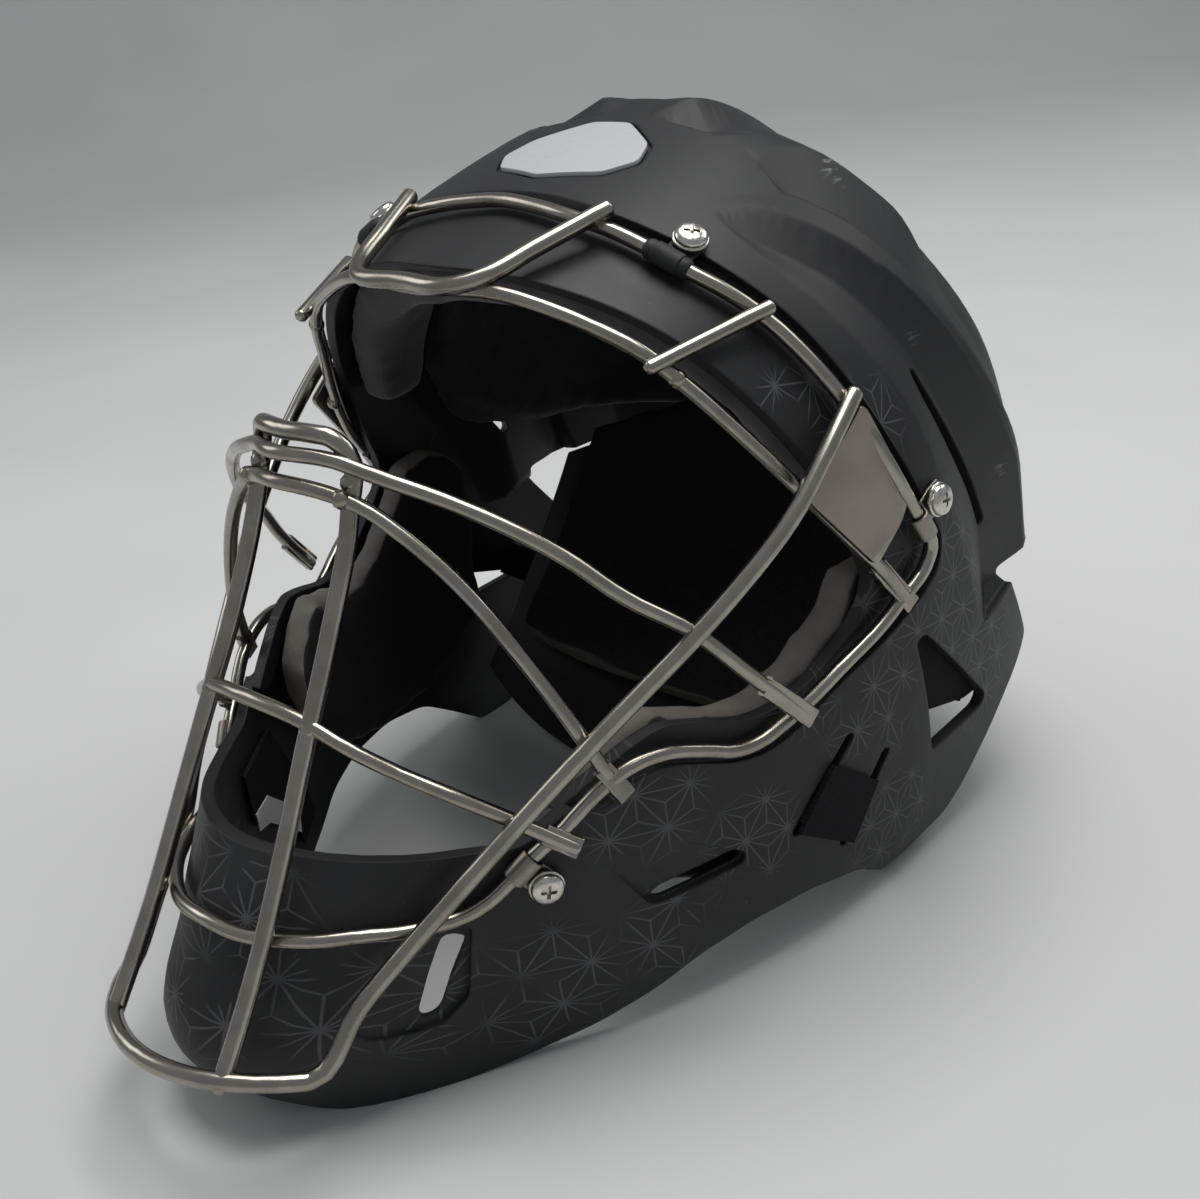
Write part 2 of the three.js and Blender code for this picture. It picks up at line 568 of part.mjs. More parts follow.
const FLAT_ENDS = [
  // from, to: the last stretch of a cross wire, pressed flat over the rim wire
  [[117.5, 32, 130], [121.9, 43.4, 112.9]],
  [[111, -19, 112], [117.1, -5.8, 96.2]],
  [[84.5, -63, 100], [89, -58.9, 89.7]],
  [[76, -81, 85], [82.6, -74.4, 78.4]],
];
const rimLoop = [...RIM_WIRE, ...RIM_WIRE.slice(1, -1).reverse().map(([x, y, z]) => [-x, y, z])];
const diagonalFromCentre = [...DIAGONAL].reverse();
const leftCageParts = [
  wire(vectors(SHORT_BAR), LIGHT_WIRE_R, { steps: 1 }),
  sheet(SIDE_SHEET, SHEET_HALF),
  ...FLAT_ENDS.map(([from, to]) => strip([from, to], [1, -0.25, 0.1], FLAT_END_HALF_WIDTH, FLAT_END_HALF_THICK)),
];
let cage = wire(vectors(rimLoop), LIGHT_WIRE_R, { steps: 1, closed: true });
const wholeWires = [
  [BROW_WIRE, LIGHT_WIRE_R, 1], [BUMPER, HEAVY_WIRE_R, 1], [UPPER_EYE_WIRE, LIGHT_WIRE_R, 1],
  [LOWER_EYE_WIRE, LIGHT_WIRE_R, 1], [MOUTH_WIRE, LIGHT_WIRE_R, 1], [diagonalFromCentre, HEAVY_WIRE_R, 1],
  [NOSE_GUARD, HEAVY_WIRE_R, 1],
];
for (const [rows, radius, steps] of wholeWires) {
  cage = cage.add(wire(bothHalves(rows), radius, { steps }));
}
for (const part of leftCageParts) {
  cage = cage.add(bothSides(part));
}

// ---- clips and screws that hold the rim wire ----
const CLIP_HALF_WIDTH = 4.5;
const CLIP_HALF_THICK = 0.5;
const CLIP_REACH = LIGHT_WIRE_R + 0.35 + CLIP_HALF_THICK;
const SEAT_GAP = 0.3;
const SCREW_LIFT = 2.25;         // washer seat above the shell, on top of the clip
const HARDWARE = [
  // name, wire point, next wire point, screw's side-view place [y, z]
  ['top', [64.5, 11.4, 224.9], [71, 12.5, 221.5], [20.4, 226.6]],
  ['side', [122.1, 50.5, 137], [122.5, 54, 130], [57.5, 142.8]],
  ['lower', [71, -86.5, 74.5], [67.6, -91.6, 69.6], [-80, 66]],
];
function shellFrame(y, z) {
  const p = onShell(y, z, 0);
  return { p, normal: onShell(y, z, 1).sub(p).normalize() };
}
function clipStrip(wireRow, nextRow, screwPlace) {
  const [at, next] = vectors([wireRow, nextRow]);
  const { p: base, normal } = shellFrame(...screwPlace);
  const along = next.sub(at);
  along.addScaledVector(normal, -along.dot(normal)).normalize();
  const toward = base.clone().sub(at);
  toward.addScaledVector(normal, -toward.dot(normal)).addScaledVector(along, -toward.dot(along)).normalize();
  const lift = SEAT_GAP + CLIP_HALF_THICK;
  const path = [195, 155, 120, 90, 60, 30].map((degrees) => {
    const a = THREE.MathUtils.degToRad(degrees);
    return at.clone().addScaledVector(toward, CLIP_REACH * Math.cos(a)).addScaledVector(normal, CLIP_REACH * Math.sin(a));
  });
  path.push(base.clone().addScaledVector(normal, lift).addScaledVector(toward, -WASHER_R));
  path.push(base.clone().addScaledVector(normal, lift).addScaledVector(toward, WASHER_R * 0.9));
  const rings = path.map((p, i) => {
    const run = path[Math.min(i + 1, path.length - 1)].clone().sub(path[Math.max(i - 1, 0)]).normalize();
    const thick = new THREE.Vector3().crossVectors(along, run).normalize();
    return [[1, 1], [-1, 1], [-1, -1], [1, -1]].map(([a, b]) => p.clone()
      .addScaledVector(along, a * CLIP_HALF_WIDTH).addScaledVector(thick, b * CLIP_HALF_THICK));
  });
  return loft(rings);
}
function screw(place) {
  const profile = [
    [0, 0], [WASHER_R, 0], [WASHER_R, WASHER_H], [SCREW_HEAD_R, WASHER_H],
    [SCREW_HEAD_R, WASHER_H + SCREW_HEAD_H * 0.45], [SCREW_HEAD_R * 0.72, WASHER_H + SCREW_HEAD_H * 0.88],
    [0, WASHER_H + SCREW_HEAD_H],
  ].map(([r, h]) => new THREE.Vector2(r, h));
  const head = new THREE.LatheGeometry(profile, 14);
  const { p, normal } = shellFrame(...place);
  const seat = p.clone().addScaledVector(normal, SCREW_LIFT);
  const turnUp = new THREE.Quaternion().setFromUnitVectors(new THREE.Vector3(0, 1, 0), normal);
  const settle = (geometry) => {
    geometry.applyQuaternion(turnUp);
    geometry.translate(seat.x, seat.y, seat.z);
    return toManifold(geometry);
  };
  let body = settle(head);
  for (const turn of [0.4, 0.4 + Math.PI / 2]) {
    const arm = new THREE.BoxGeometry(SCREW_HEAD_R * 1.1, 2.4, 1.1);
    arm.translate(0, WASHER_H + SCREW_HEAD_H, 0);
    arm.rotateY(turn);
    body = body.subtract(settle(arm));
  }
  return body;
}

// ---- pads: slabs that follow the inside of the shell, cut to a side-view outline ----
const PAD_OUTER = -(WALL + RECESS_DEPTH + PAD_GAP);
const BROW_PAD_OUTLINE = [
  [26, 152], [18, 170], [7, 193], [-1, 208], [-7, 217], [-12, 223], [-16, 228], [-20, 262], [24, 262],
  [33, 235], [41, 212], [48, 185], [50, 152],
];
const JAW_PAD_OUTLINE = [
  [-60, 86], [-52, 99], [-41, 107], [-30, 104], [-16, 99], [-6, 98], [8, 104], [22, 114], [29, 120],
  [32, 127], [48, 128], [60, 124], [70, 112], [72, 96], [62, 46], [22, 30], [-24, 34], [-46, 46], [-58, 68],
];
const PAD_AROUND = 32;
function skinSlab(outline, from, to, around, xFrom, xTo) {
  return shellSolid(from, around, 0).subtract(shellSolid(to, around, 0)).intersect(acrossPrism(outline, xFrom, xTo));
}
const browPad = skinSlab(BROW_PAD_OUTLINE, PAD_OUTER, PAD_OUTER - BROW_PAD_THICK, PAD_AROUND, -160, 160);
const jawPadLeft = skinSlab(JAW_PAD_OUTLINE, PAD_OUTER, PAD_OUTER - JAW_PAD_THICK, PAD_AROUND, 20, 160);
const CROWN_PAD_THICK = 10;
const CROWN_PAD_OUTLINE = [
  [28, 262], [37, 235], [45, 212], [52, 185], [54, 156], [66, 134], [78, 124], [92, 119], [112, 118], [200, 119], [200, 262],
];
const crownPad = skinSlab(
  CROWN_PAD_OUTLINE, PAD_OUTER - 2 * PAD_GAP, PAD_OUTER - CROWN_PAD_THICK, PAD_AROUND, -160, 160,
).subtract(ribs(WALL + PAD_GAP));
const BACK_PAD_THICK = 20;
const backPad = plateSlab(
  PLATE_THICK + 2 * PAD_GAP, PLATE_THICK + PAD_GAP + BACK_PAD_THICK, [-0.86, 0.86], [0.2, 0.9], 14, 7,
);

// ---- webbing ----
const TAB_OUTLINE = [[10, 69.5], [30, 53.5], [19.5, 34], [-3, 49]];
const TAB_LEG_FRONT = [[9.0, 65.6], [10.2, 64.8], [0.2, 51.6], [-1.0, 52.4]];
const TAB_LEG_REAR = [[27.7, 52.4], [28.9, 51.6], [19.4, 37.6], [18.3, 38.4]];
const tabLeft = skinSlab(TAB_OUTLINE, SEAT_GAP + TAB_THICK, SEAT_GAP, AROUND, 60, 170)
  .add(skinSlab(TAB_LEG_FRONT, SEAT_GAP + TAB_THICK, -WALL - 2, AROUND, 60, 170))
  .add(skinSlab(TAB_LEG_REAR, SEAT_GAP + TAB_THICK, -WALL - 2, AROUND, 60, 170));
// the elastic that ties the back plate to each jaw panel, seen through the triangular window
const REAR_STRAP_OUTLINE = [[44, 94], [46, 68], [90, 53], [98, 52], [99, 65], [62, 96]];
const STRAP_OUTER = -(WALL + SEAT_GAP);
const REAR_STRAP_LINK = [
  onShell(93, 57, STRAP_OUTER - TAB_THICK * 0.8).toArray(), platePoint(1.0, 0.5, -3.2).toArray(),
  platePoint(0.84, 0.47, -2.4).toArray(),
];
const rearStrapLeft = skinSlab(REAR_STRAP_OUTLINE, STRAP_OUTER, STRAP_OUTER - TAB_THICK, AROUND, 60, 170)
  .add(strip(REAR_STRAP_LINK, [0.5, 0.62, -0.6], 7, TAB_THICK / 2));
// the chin strap's anchor inside the jaw, with its loose end hanging below
const INNER_STRAP_OUTLINE = [
  [-93, 66], [-70, 68], [-62, 48], [-57, 40], [-54, 22], [-66, 16], [-70, 38], [-80, 42], [-93, 46],
];
const LABEL_OUTLINE = [[-92, 50], [-82, 50], [-64, 30], [-67, 22], [-84, 40], [-92, 43]];
const LABEL_THICK = 0.5;
const innerStrapLeft = skinSlab(INNER_STRAP_OUTLINE, STRAP_OUTER, STRAP_OUTER - TAB_THICK, AROUND, 20, 160);
const labelOuter = STRAP_OUTER - TAB_THICK - SEAT_GAP;
const careLabel = skinSlab(LABEL_OUTLINE, labelOuter, labelOuter - LABEL_THICK, AROUND, -160, -20);

// ---- the assembly ----
const group = new THREE.Group();
group.name = 'catcher_helmet';
function add(name, body, colour, roughness, metalness = 0) {
  const material = new THREE.MeshStandardMaterial({ color: colour, roughness, metalness });
  material.name = name;
  const mesh = new THREE.Mesh(toGeometry(body), material);
  mesh.name = name;
  group.add(mesh);
}
function addPair(name, leftBody, colour, roughness, metalness = 0) {
  add(`${name}_left`, leftBody, colour, roughness, metalness);
  add(`${name}_right`, mirror(leftBody), colour, roughness, metalness);
}
add('shell', shell, COLOURS.shell, 0.6);
add('back_plate', backPlate, COLOURS.shell, 0.6);
add('cage', cage, COLOURS.steel, 0.3, 1);
add('forehead_badge', badge, COLOURS.badge, 0.4);
add('brow_pad', browPad, COLOURS.fabric, 0.9);
addPair('cheek_pad', jawPadLeft, COLOURS.foam, 0.95);
add('crown_pad', crownPad, COLOURS.fabric, 0.9);
add('back_pad', backPad, COLOURS.fabric, 0.9);
addPair('strap_tab', tabLeft, COLOURS.webbing, 0.85);
addPair('rear_strap', rearStrapLeft, COLOURS.webbing, 0.85);
addPair('inner_strap', innerStrapLeft, COLOURS.webbing, 0.85);
add('care_label', careLabel, COLOURS.badge, 0.6);
for (const [name, wireRow, nextRow, place] of HARDWARE) {
  const isTop = name === 'top';
  addPair(`clip_${name}`, clipStrip(wireRow, nextRow, place), isTop ? COLOURS.rubber : COLOURS.steel, 0.4, isTop ? 0 : 1);
  addPair(`screw_${name}`, screw(place), COLOURS.screw, 0.25, 1);
}

// the object stands on Z = 0, centred on its own outline
const bounds = new THREE.Box3().setFromObject(group);
group.position.set(
  -(bounds.min.x + bounds.max.x) / 2, -(bounds.min.y + bounds.max.y) / 2, -bounds.min.z,
);
export default group;
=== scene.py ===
import math
import bpy
import bmesh
import numpy as np
from mathutils import Matrix, Vector


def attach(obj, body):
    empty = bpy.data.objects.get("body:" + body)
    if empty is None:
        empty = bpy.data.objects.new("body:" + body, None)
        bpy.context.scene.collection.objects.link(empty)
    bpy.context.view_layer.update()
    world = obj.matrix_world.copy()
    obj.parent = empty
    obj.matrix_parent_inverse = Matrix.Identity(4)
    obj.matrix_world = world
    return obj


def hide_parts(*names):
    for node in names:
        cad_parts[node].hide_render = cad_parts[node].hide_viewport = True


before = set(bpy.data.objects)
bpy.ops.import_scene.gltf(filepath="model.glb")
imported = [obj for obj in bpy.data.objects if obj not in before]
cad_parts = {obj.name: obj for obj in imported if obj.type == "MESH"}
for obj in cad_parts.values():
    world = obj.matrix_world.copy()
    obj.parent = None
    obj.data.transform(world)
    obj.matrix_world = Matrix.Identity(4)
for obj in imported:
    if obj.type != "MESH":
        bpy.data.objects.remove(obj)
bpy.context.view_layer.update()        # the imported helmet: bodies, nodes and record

# ---- table top, soft light and camera ----
# A pale seamless sweep under a wide overhead softbox, with the camera low in front of the
# wearer's left shoulder.
SWEEP_HALF = 3.0
SWEEP_BEHIND = 1.5             # where the sweep starts to climb, metres behind the helmet
SWEEP_CURVE = 0.9
SWEEP_STEPS = 12
SWEEP_TURN = 44                # degrees that the sweep is turned round to face the camera
VIEW_RIGHT = Vector((0.75099, 0.65028, -0.11466))
VIEW_UP = Vector((-0.21095, 0.40082, 0.89154))
VIEW_BACK = Vector((0.62571, -0.64535, 0.43819))
VIEW_PLACE = Vector((0.3401, -0.3190, 0.3288))
HEART = Vector((0.0, 0.0, 0.12))    # the middle of the helmet, which the lamps face


class Flow:
    """A number, colour or vector on its way through a finish; sums and products add Math nodes."""

    def __init__(self, socket):
        self.socket = socket
        self.tree = socket.id_data

    def node(self, kind, settings=None, sockets=None, output=0):
        made = self.tree.nodes.new(kind)
        for name, value in (settings or {}).items():
            if name == "stops":
                ramp = made.color_ramp.elements
                while len(ramp) < len(value):
                    ramp.new(0.5)
                for stop, (position, colour) in zip(ramp, value):
                    stop.position = position
                    stop.color = colour
            else:
                setattr(made, name, value)
        for name, value in (sockets or {}).items():
            if isinstance(value, Flow):
                self.tree.links.new(value.socket, made.inputs[name])
            else:
                made.inputs[name].default_value = value
        return Flow(made.outputs[output])

    def maths(self, operation, *terms):
        return self.node("ShaderNodeMath", {"operation": operation}, dict(enumerate(terms)))

    def vector(self, operation, other, output="Value"):
        sockets = {0: self, 1: other}
        return self.node("ShaderNodeVectorMath", {"operation": operation}, sockets, output)

    def split(self):
        """The three numbers of a vector."""
        parts = self.node("ShaderNodeSeparateXYZ", sockets={0: self}).socket.node
        return [Flow(output) for output in parts.outputs]

    def __add__(self, other):
        return self.maths("ADD", self, other)

    __radd__ = __add__

    def __sub__(self, other):
        return self.maths("SUBTRACT", self, other)

    def __rsub__(self, other):
        return self.maths("SUBTRACT", other, self)

    def __mul__(self, other):
        return self.maths("MULTIPLY", self, other)

    __rmul__ = __mul__

    def ramp(self, low, high):
        """0 below low, 1 above high, smooth between; turned round when low is above high."""
        sockets = {"Value": self, "From Min": min(low, high), "From Max": max(low, high)}
        eased = self.node("ShaderNodeMapRange", {"interpolation_type": "SMOOTHSTEP"}, sockets)
        return eased if low < high else 1 - eased

    def noise(self, scale, detail=3.0, roughness=0.5):
        sockets = {"Vector": self, "Scale": scale, "Detail": detail, "Roughness": roughness}
        return self.node("ShaderNodeTexNoise", {}, sockets)


def new_finish(name, constants):
    """A material, its shader, and the place on the helmet that its patterns are drawn from."""
    material = bpy.data.materials.new(name)
    material.use_nodes = True
    shader = material.node_tree.nodes["Principled BSDF"]
    for socket, value in constants.items():
        shader.inputs[socket].default_value = value
    place = Flow(shader.outputs[0]).node("ShaderNodeTexCoord", output="Object")
    return material, shader, place


def into(shader, **flows):
    """Links flows to the shader's sockets, such as Base_Color or Roughness."""
    for socket, flow in flows.items():
        flow.tree.links.new(flow.socket, shader.inputs[socket.replace("_", " ")])


def between(factor, first, second):
    """The first colour where the factor is 0, the second where it is 1."""
    sockets = {0: factor, 6: first, 7: second}
    return factor.node("ShaderNodeMix", {"data_type": "RGBA"}, sockets, output=2)


def relief(height, depth, strength=1.0, rounded_edge=0.0):
    """A Bump of this height, depth in metres, over hard corners rounded to a radius."""
    sockets = {"Height": height, "Distance": depth, "Strength": strength}
    if rounded_edge:
        sockets["Normal"] = height.node(
            "ShaderNodeBevel", {"samples": 6}, {"Radius": rounded_edge},
        )
    return height.node("ShaderNodeBump", {}, sockets)


def mesh_piece(name, points, faces, material=None):
    mesh = bpy.data.meshes.new(name)
    mesh.from_pydata([tuple(p) for p in points], [], [tuple(f) for f in faces])
    mesh.validate()
    piece = bpy.data.objects.new(name, mesh)
    bpy.context.collection.objects.link(piece)
    if material:
        mesh.materials.append(material)
    return piece


def dress(piece, finish):
    """Gives a piece its one material."""
    piece.data.materials.clear()
    piece.data.materials.append(finish)


floor_finish, floor_shader, place = new_finish("sweep_paper", {"Roughness": 0.9})
tone = place.noise(4.0, 2.0).ramp(0.2, 0.8)
into(floor_shader, Base_Color=between(tone, (0.54, 0.54, 0.53, 1), (0.58, 0.58, 0.57, 1)))
profile = [(-SWEEP_HALF, 0.0), (SWEEP_BEHIND, 0.0)]
for step in range(1, SWEEP_STEPS + 1):
    angle = math.radians(90 * step / SWEEP_STEPS)
    profile.append((
        SWEEP_BEHIND + SWEEP_CURVE * math.sin(angle), SWEEP_CURVE * (1 - math.cos(angle)),
    ))
profile.append((SWEEP_BEHIND + SWEEP_CURVE, SWEEP_HALF))
sweep_turn = Matrix.Rotation(math.radians(SWEEP_TURN), 3, "Z")
points = []
for forward, height in profile:
    for side in (-2 * SWEEP_HALF, 2 * SWEEP_HALF):
        points.append(sweep_turn @ Vector((side, forward, height)))
faces = [(2 * i, 2 * i + 1, 2 * i + 3, 2 * i + 2) for i in range(len(profile) - 1)]
sweep = mesh_piece("sweep", points, faces, floor_finish)
sweep.data.shade_smooth()


def soft_light(name, at, size, watts):
    """A rectangular lamp that faces the helmet."""
    lamp = bpy.data.lights.new(name, "AREA")
    lamp.shape = "RECTANGLE"
    lamp.size, lamp.size_y = size
    lamp.energy = watts
    holder = bpy.data.objects.new(name, lamp)
    holder.location = at
    holder.rotation_euler = (HEART - Vector(at)).to_track_quat("-Z", "Y").to_euler()
    bpy.context.collection.objects.link(holder)


soft_light("softbox_above", (0.05, 0.25, 1.5), (1.0, 0.8), 18)
soft_light("softbox_left", (-1.4, -0.6, 1.1), (0.7, 0.9), 4)
soft_light("softbox_behind", (0.6, 1.3, 1.2), (0.9, 0.6), 5)
world = bpy.data.worlds.new("room")
world.use_nodes = True
background = world.node_tree.nodes["Background"]
background.inputs["Color"].default_value = (0.9, 0.95, 1.0, 1)
background.inputs["Strength"].default_value = 0.31
bpy.context.scene.world = world
bpy.context.scene.view_settings.view_transform = "Standard"

lens = bpy.data.cameras.new("camera")
lens.lens = 45
lens.sensor_width = 36
lens.clip_start = 0.01
camera = bpy.data.objects.new("camera", lens)
camera.matrix_world = Matrix.Translation(VIEW_PLACE) @ Matrix((
    (VIEW_RIGHT.x, VIEW_UP.x, VIEW_BACK.x, 0),
    (VIEW_RIGHT.y, VIEW_UP.y, VIEW_BACK.y, 0),
    (VIEW_RIGHT.z, VIEW_UP.z, VIEW_BACK.z, 0),
    (0, 0, 0, 1),
))
bpy.context.collection.objects.link(camera)
bpy.context.scene.camera = camera

# ---- moulded shell ----
# One injection-moulded nylon shell: chin, jaw wings and crown, a little over 4 mm thick, with a
# stepped band round the face that the cage's rim wire lies in, and three overlapping steps that
# fan back over each side of the crown.  Sizes are in millimetres until a piece is made.
MM = 0.001
FRAME_Y = -0.445               # the helmet's own front-to-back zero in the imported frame
WALL = 4.2
RECESS = 3.2                   # step down to the band round the face
WIDEST_Y = 66                  # where the shell is widest
JAW_TOP = 126
CROWN = 256
CROWN_LEAN = 19.6
HALF_WIDTH = 122.5
FOREHEAD = 178
BACK = 115
DOME_SIDE = (2.03, 0.47)       # the powers that round the crown off toward its top
DOME_FRONT = (4, 1.2)
DOME_BACK = (2.1, 0.83)
BULGE_SIDE = (26, 68)          # the chin's bulge fades out between these half widths
CORNER_STEPS = 4
POCKET_CORNER = 2.5
CUT_ABOVE = 8                  # how far a cut starts outside the shell
JAW_SECTIONS = np.array([
    # height, half_width, front_depth, back_depth, front_power, back_power, chin_bulge
    [-14, 100, 199, 110, 1.86, 3.6, 10],
    [0, 103.5, 202, 112, 1.86, 3.8, 13],
    [8, 110, 204, 115, 1.77, 3.8, 18],
    [28, 115.5, 207, 117, 1.73, 3.8, 26],
    [56, 119, 206, 117, 1.66, 3.6, 13.5],
    [86, 121.5, 197, 117, 1.72, 3.3, 4],
    [JAW_TOP, HALF_WIDTH, FOREHEAD, BACK, 1.8, 3.0, 0],
], float)


def unit(vector):
    return vector / np.linalg.norm(vector)


def smooth_step(low, high, value):
    t = np.clip((value - low) / (high - low), 0, 1)
    return t * t * (3 - 2 * t)


def table_at(rows, key):
    """A monotone cubic through the rows of a table whose first column is the key."""
    rows = np.asarray(rows, float)
    keys, columns = rows[:, 0], rows[:, 1:]
    key = np.clip(np.asarray(key, float), keys[0], keys[-1])
    i = np.clip(np.searchsorted(keys, key, side="right") - 1, 0, len(keys) - 2)
    rise = np.diff(columns, axis=0) / np.diff(keys)[:, None]
    order = np.arange(len(keys))
    before = rise[np.maximum(order - 1, 0)]
    after = rise[np.minimum(order, len(keys) - 2)]
    agree = before * after > 0
    slope = np.where(agree, 2 * before * after / np.where(agree, before + after, 1), 0)
    span = (keys[i + 1] - keys[i])[..., None]
    t = (key - keys[i])[..., None] / span
    a = 2 * t**3 - 3 * t**2 + 1
    b = t**3 - 2 * t**2 + t
    d = t**3 - t**2
    return (
        a * columns[i] + b * span * slope[i] + (1 - a) * columns[i + 1] + d * span * slope[i + 1]
    )


def domed(size, powers, share):
    """A size of the crown, which shrinks to nothing as the share of its height grows to 1."""
    return size * (1 - share ** powers[0]) ** powers[1]


def smooth_surface(turn, z):
    """The outside of the shell; turn 0 is the front centre line, pi / 2 the wearer's left."""
    turn, z = np.broadcast_arrays(np.asarray(turn, float), np.asarray(z, float))
    jaw = table_at(JAW_SECTIONS, np.minimum(z, JAW_TOP))
    t = np.clip((z - JAW_TOP) / (CROWN - JAW_TOP), 0, 1)
    dome = z > JAW_TOP
    half = np.maximum(np.where(dome, domed(HALF_WIDTH, DOME_SIDE, t), jaw[..., 0]), 1e-6)
    front = np.where(dome, domed(FOREHEAD, DOME_FRONT, t), jaw[..., 1])
    back = np.where(dome, domed(BACK, DOME_BACK, t), jaw[..., 2])
    back_power = np.where(dome, 3 - np.minimum(1.3 * t, 1), jaw[..., 4])
    side, ahead = np.sin(turn), np.cos(turn)
    blend = smooth_step(-0.22, 0.22, ahead)
    power = back_power + (jaw[..., 3] - back_power) * blend
    depth = np.maximum(back + (front - back) * blend, 1e-6)
    u = np.hypot(side, 0.05) / half
    v = np.abs(ahead) / depth
    radius = (u**power + v**power) ** (-1 / power)
    x = radius * side
    bulge = jaw[..., 5] * blend * (1 - smooth_step(*BULGE_SIDE, np.abs(x)))
    y = WIDEST_Y + CROWN_LEAN * t**3.4 - radius * ahead - bulge
    return np.stack([x, y, z], -1)


def shell_point(turn, z, offset):
    """A point of the shell moved out along the surface by an offset; negative is inward."""
    turn, z = np.broadcast_arrays(np.asarray(turn, float), np.asarray(z, float))
    at = smooth_surface(turn, z)
    up_step = np.where(z > CROWN - 3, -0.4, 0.4)
    along = smooth_surface(turn + 0.01, z) - smooth_surface(turn - 0.01, z)
    up = (smooth_surface(turn, z + up_step) - at) * np.sign(up_step)[..., None]
    normal = np.cross(along, up)
    length = np.linalg.norm(normal, axis=-1, keepdims=True)
    flat = (length < 1e-9) | (z > CROWN - 0.01)[..., None]
    normal = np.where(flat, [0, 0, 1], normal / np.maximum(length, 1e-9))
    return at + normal * np.asarray(offset, float)[..., None]


def on_shell(y, z, offset):
    """The shell's outside at a side-view place on the wearer's left, moved out by an offset."""
    y, z, offset = np.broadcast_arrays(*[np.asarray(v, float) for v in (y, z, offset)])
    low, high = np.zeros(y.shape), np.full(y.shape, math.pi)
    for _ in range(34):
        middle = (low + high) / 2
        short = smooth_surface(middle, z)[..., 1] < y
        low, high = np.where(short, middle, low), np.where(short, high, middle)
    return shell_point(low, z, offset)


def solid(name, points, faces):
    """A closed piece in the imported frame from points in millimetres, faces turned outward."""
    placed = (np.asarray(points, float) + [0, FRAME_Y, 0]) * MM
    piece = mesh_piece(name, placed, faces)
    work = bmesh.new()
    work.from_mesh(piece.data)
    bmesh.ops.remove_doubles(work, verts=work.verts, dist=1e-8)
    bmesh.ops.recalc_face_normals(work, faces=work.faces)
    if work.calc_volume(signed=True) < 0:
        bmesh.ops.reverse_faces(work, faces=work.faces)
    bmesh.ops.triangulate(work, faces=work.faces)
    work.to_mesh(piece.data)
    work.free()
    return piece


def lofted(rings, closed=False, band_ends=False):
    """Points and faces of a tube through equal rings, closed by a face at each end.

    A thin bent band's ends are closed by a strip between its two long sides instead.
    """
    rings = np.asarray(rings, float)
    count, around = rings.shape[:2]
    faces = []
    for r in range(count if closed else count - 1):
        lower, upper = r * around, ((r + 1) % count) * around
        for i in range(around):
            j = (i + 1) % around
            faces.append([lower + i, lower + j, upper + j, upper + i])
    top = (count - 1) * around
    if band_ends:
        for i in range(around // 2 - 1):
            far = around - 1 - i
            faces.append([i + 1, i, far, far - 1])
            faces.append([top + i, top + i + 1, top + far - 1, top + far])
    elif not closed:
        faces.append(list(reversed(range(around))))
        faces.append([top + i for i in range(around)])
    return rings.reshape(-1, 3), faces


def joined(bodies):
    """Several (points, faces) sets as one."""
    points, faces, first = [], [], 0
    for some, their_faces in bodies:
        points.append(some)
        faces += [[k + first for k in face] for face in their_faces]
        first += len(some)
    return np.concatenate(points), faces


def mirrored(body):
    """The same body on the other side of the helmet."""
    points, faces = body
    return points * [-1, 1, 1], [face[::-1] for face in faces]


def shell_body(offset, around=200, floor=-40.0, jaw_steps=40, dome_steps=60):
    """The solid inside the shell surface at an offset, from below the table to the crown."""
    jaw = np.linspace(0, JAW_TOP, jaw_steps, endpoint=False)
    dome = JAW_TOP + (CROWN - JAW_TOP) * np.sin(np.arange(dome_steps) / dome_steps * math.pi / 2)
    heights = np.concatenate([[floor], jaw, dome])
    turns = np.arange(around) / around * math.tau
    rings = shell_point(turns[None, :], np.maximum(heights, JAW_SECTIONS[0, 0])[:, None], offset)
    rings[0, :, 2] = floor
    points, faces = lofted(rings)
    tip = len(points)
    points = np.vstack([points, points[-around:].mean(0)])
    faces.pop()
    last = tip - around
    faces += [[last + i, last + (i + 1) % around, tip] for i in range(around)]
    return points, faces


def across_prism(outline, x_from=-170.0, x_to=170.0):
    """A side-view outline of [y, z] corners carried straight across."""
    return lofted([[[x, y, z] for y, z in outline] for x in (x_from, x_to)])


def rounded(rows, radius):
    """A closed outline with each corner turned into a short curve of CORNER_STEPS."""
    rows = np.asarray(rows, float)
    made = []
    for i, corner in enumerate(rows):
        before, after = rows[i - 1], rows[(i + 1) % len(rows)]
        ends = []
        for other in (before, after):
            reach = np.linalg.norm((other - corner)[:2])
            ends.append(corner + (other - corner) * min(radius / reach, 0.45))
        for t in np.linspace(0, 1, CORNER_STEPS + 1):
            made.append((1 - t) ** 2 * ends[0] + 2 * t * (1 - t) * corner + t**2 * ends[1])
    return np.array(made)


def pocket(corners):
    """A cut through the left wall: corners [y, z, depth]; its floor follows the depths."""
    rows = rounded(corners, POCKET_CORNER)
    return lofted([
        on_shell(rows[:, 0], rows[:, 1], CUT_ABOVE), on_shell(rows[:, 0], rows[:, 1], -rows[:, 2]),
    ])


def applied(piece):
    """Works a piece's modifiers into its mesh."""
    bpy.context.view_layer.update()
    seen = piece.evaluated_get(bpy.context.evaluated_depsgraph_get())
    made = bpy.data.meshes.new_from_object(seen)
    piece.modifiers.clear()
    old, piece.data = piece.data, made
    bpy.data.meshes.remove(old)


def carve(piece, body, operation="DIFFERENCE"):
    """Cuts a body out of a piece, adds it, or keeps what they share."""
    tool = body if isinstance(body, bpy.types.Object) else solid("tool", *body)
    change = piece.modifiers.new("carve", "BOOLEAN")
    change.object = tool
    change.operation = operation
    change.solver = "MANIFOLD"
    applied(piece)
    bpy.data.objects.remove(tool)
    return piece


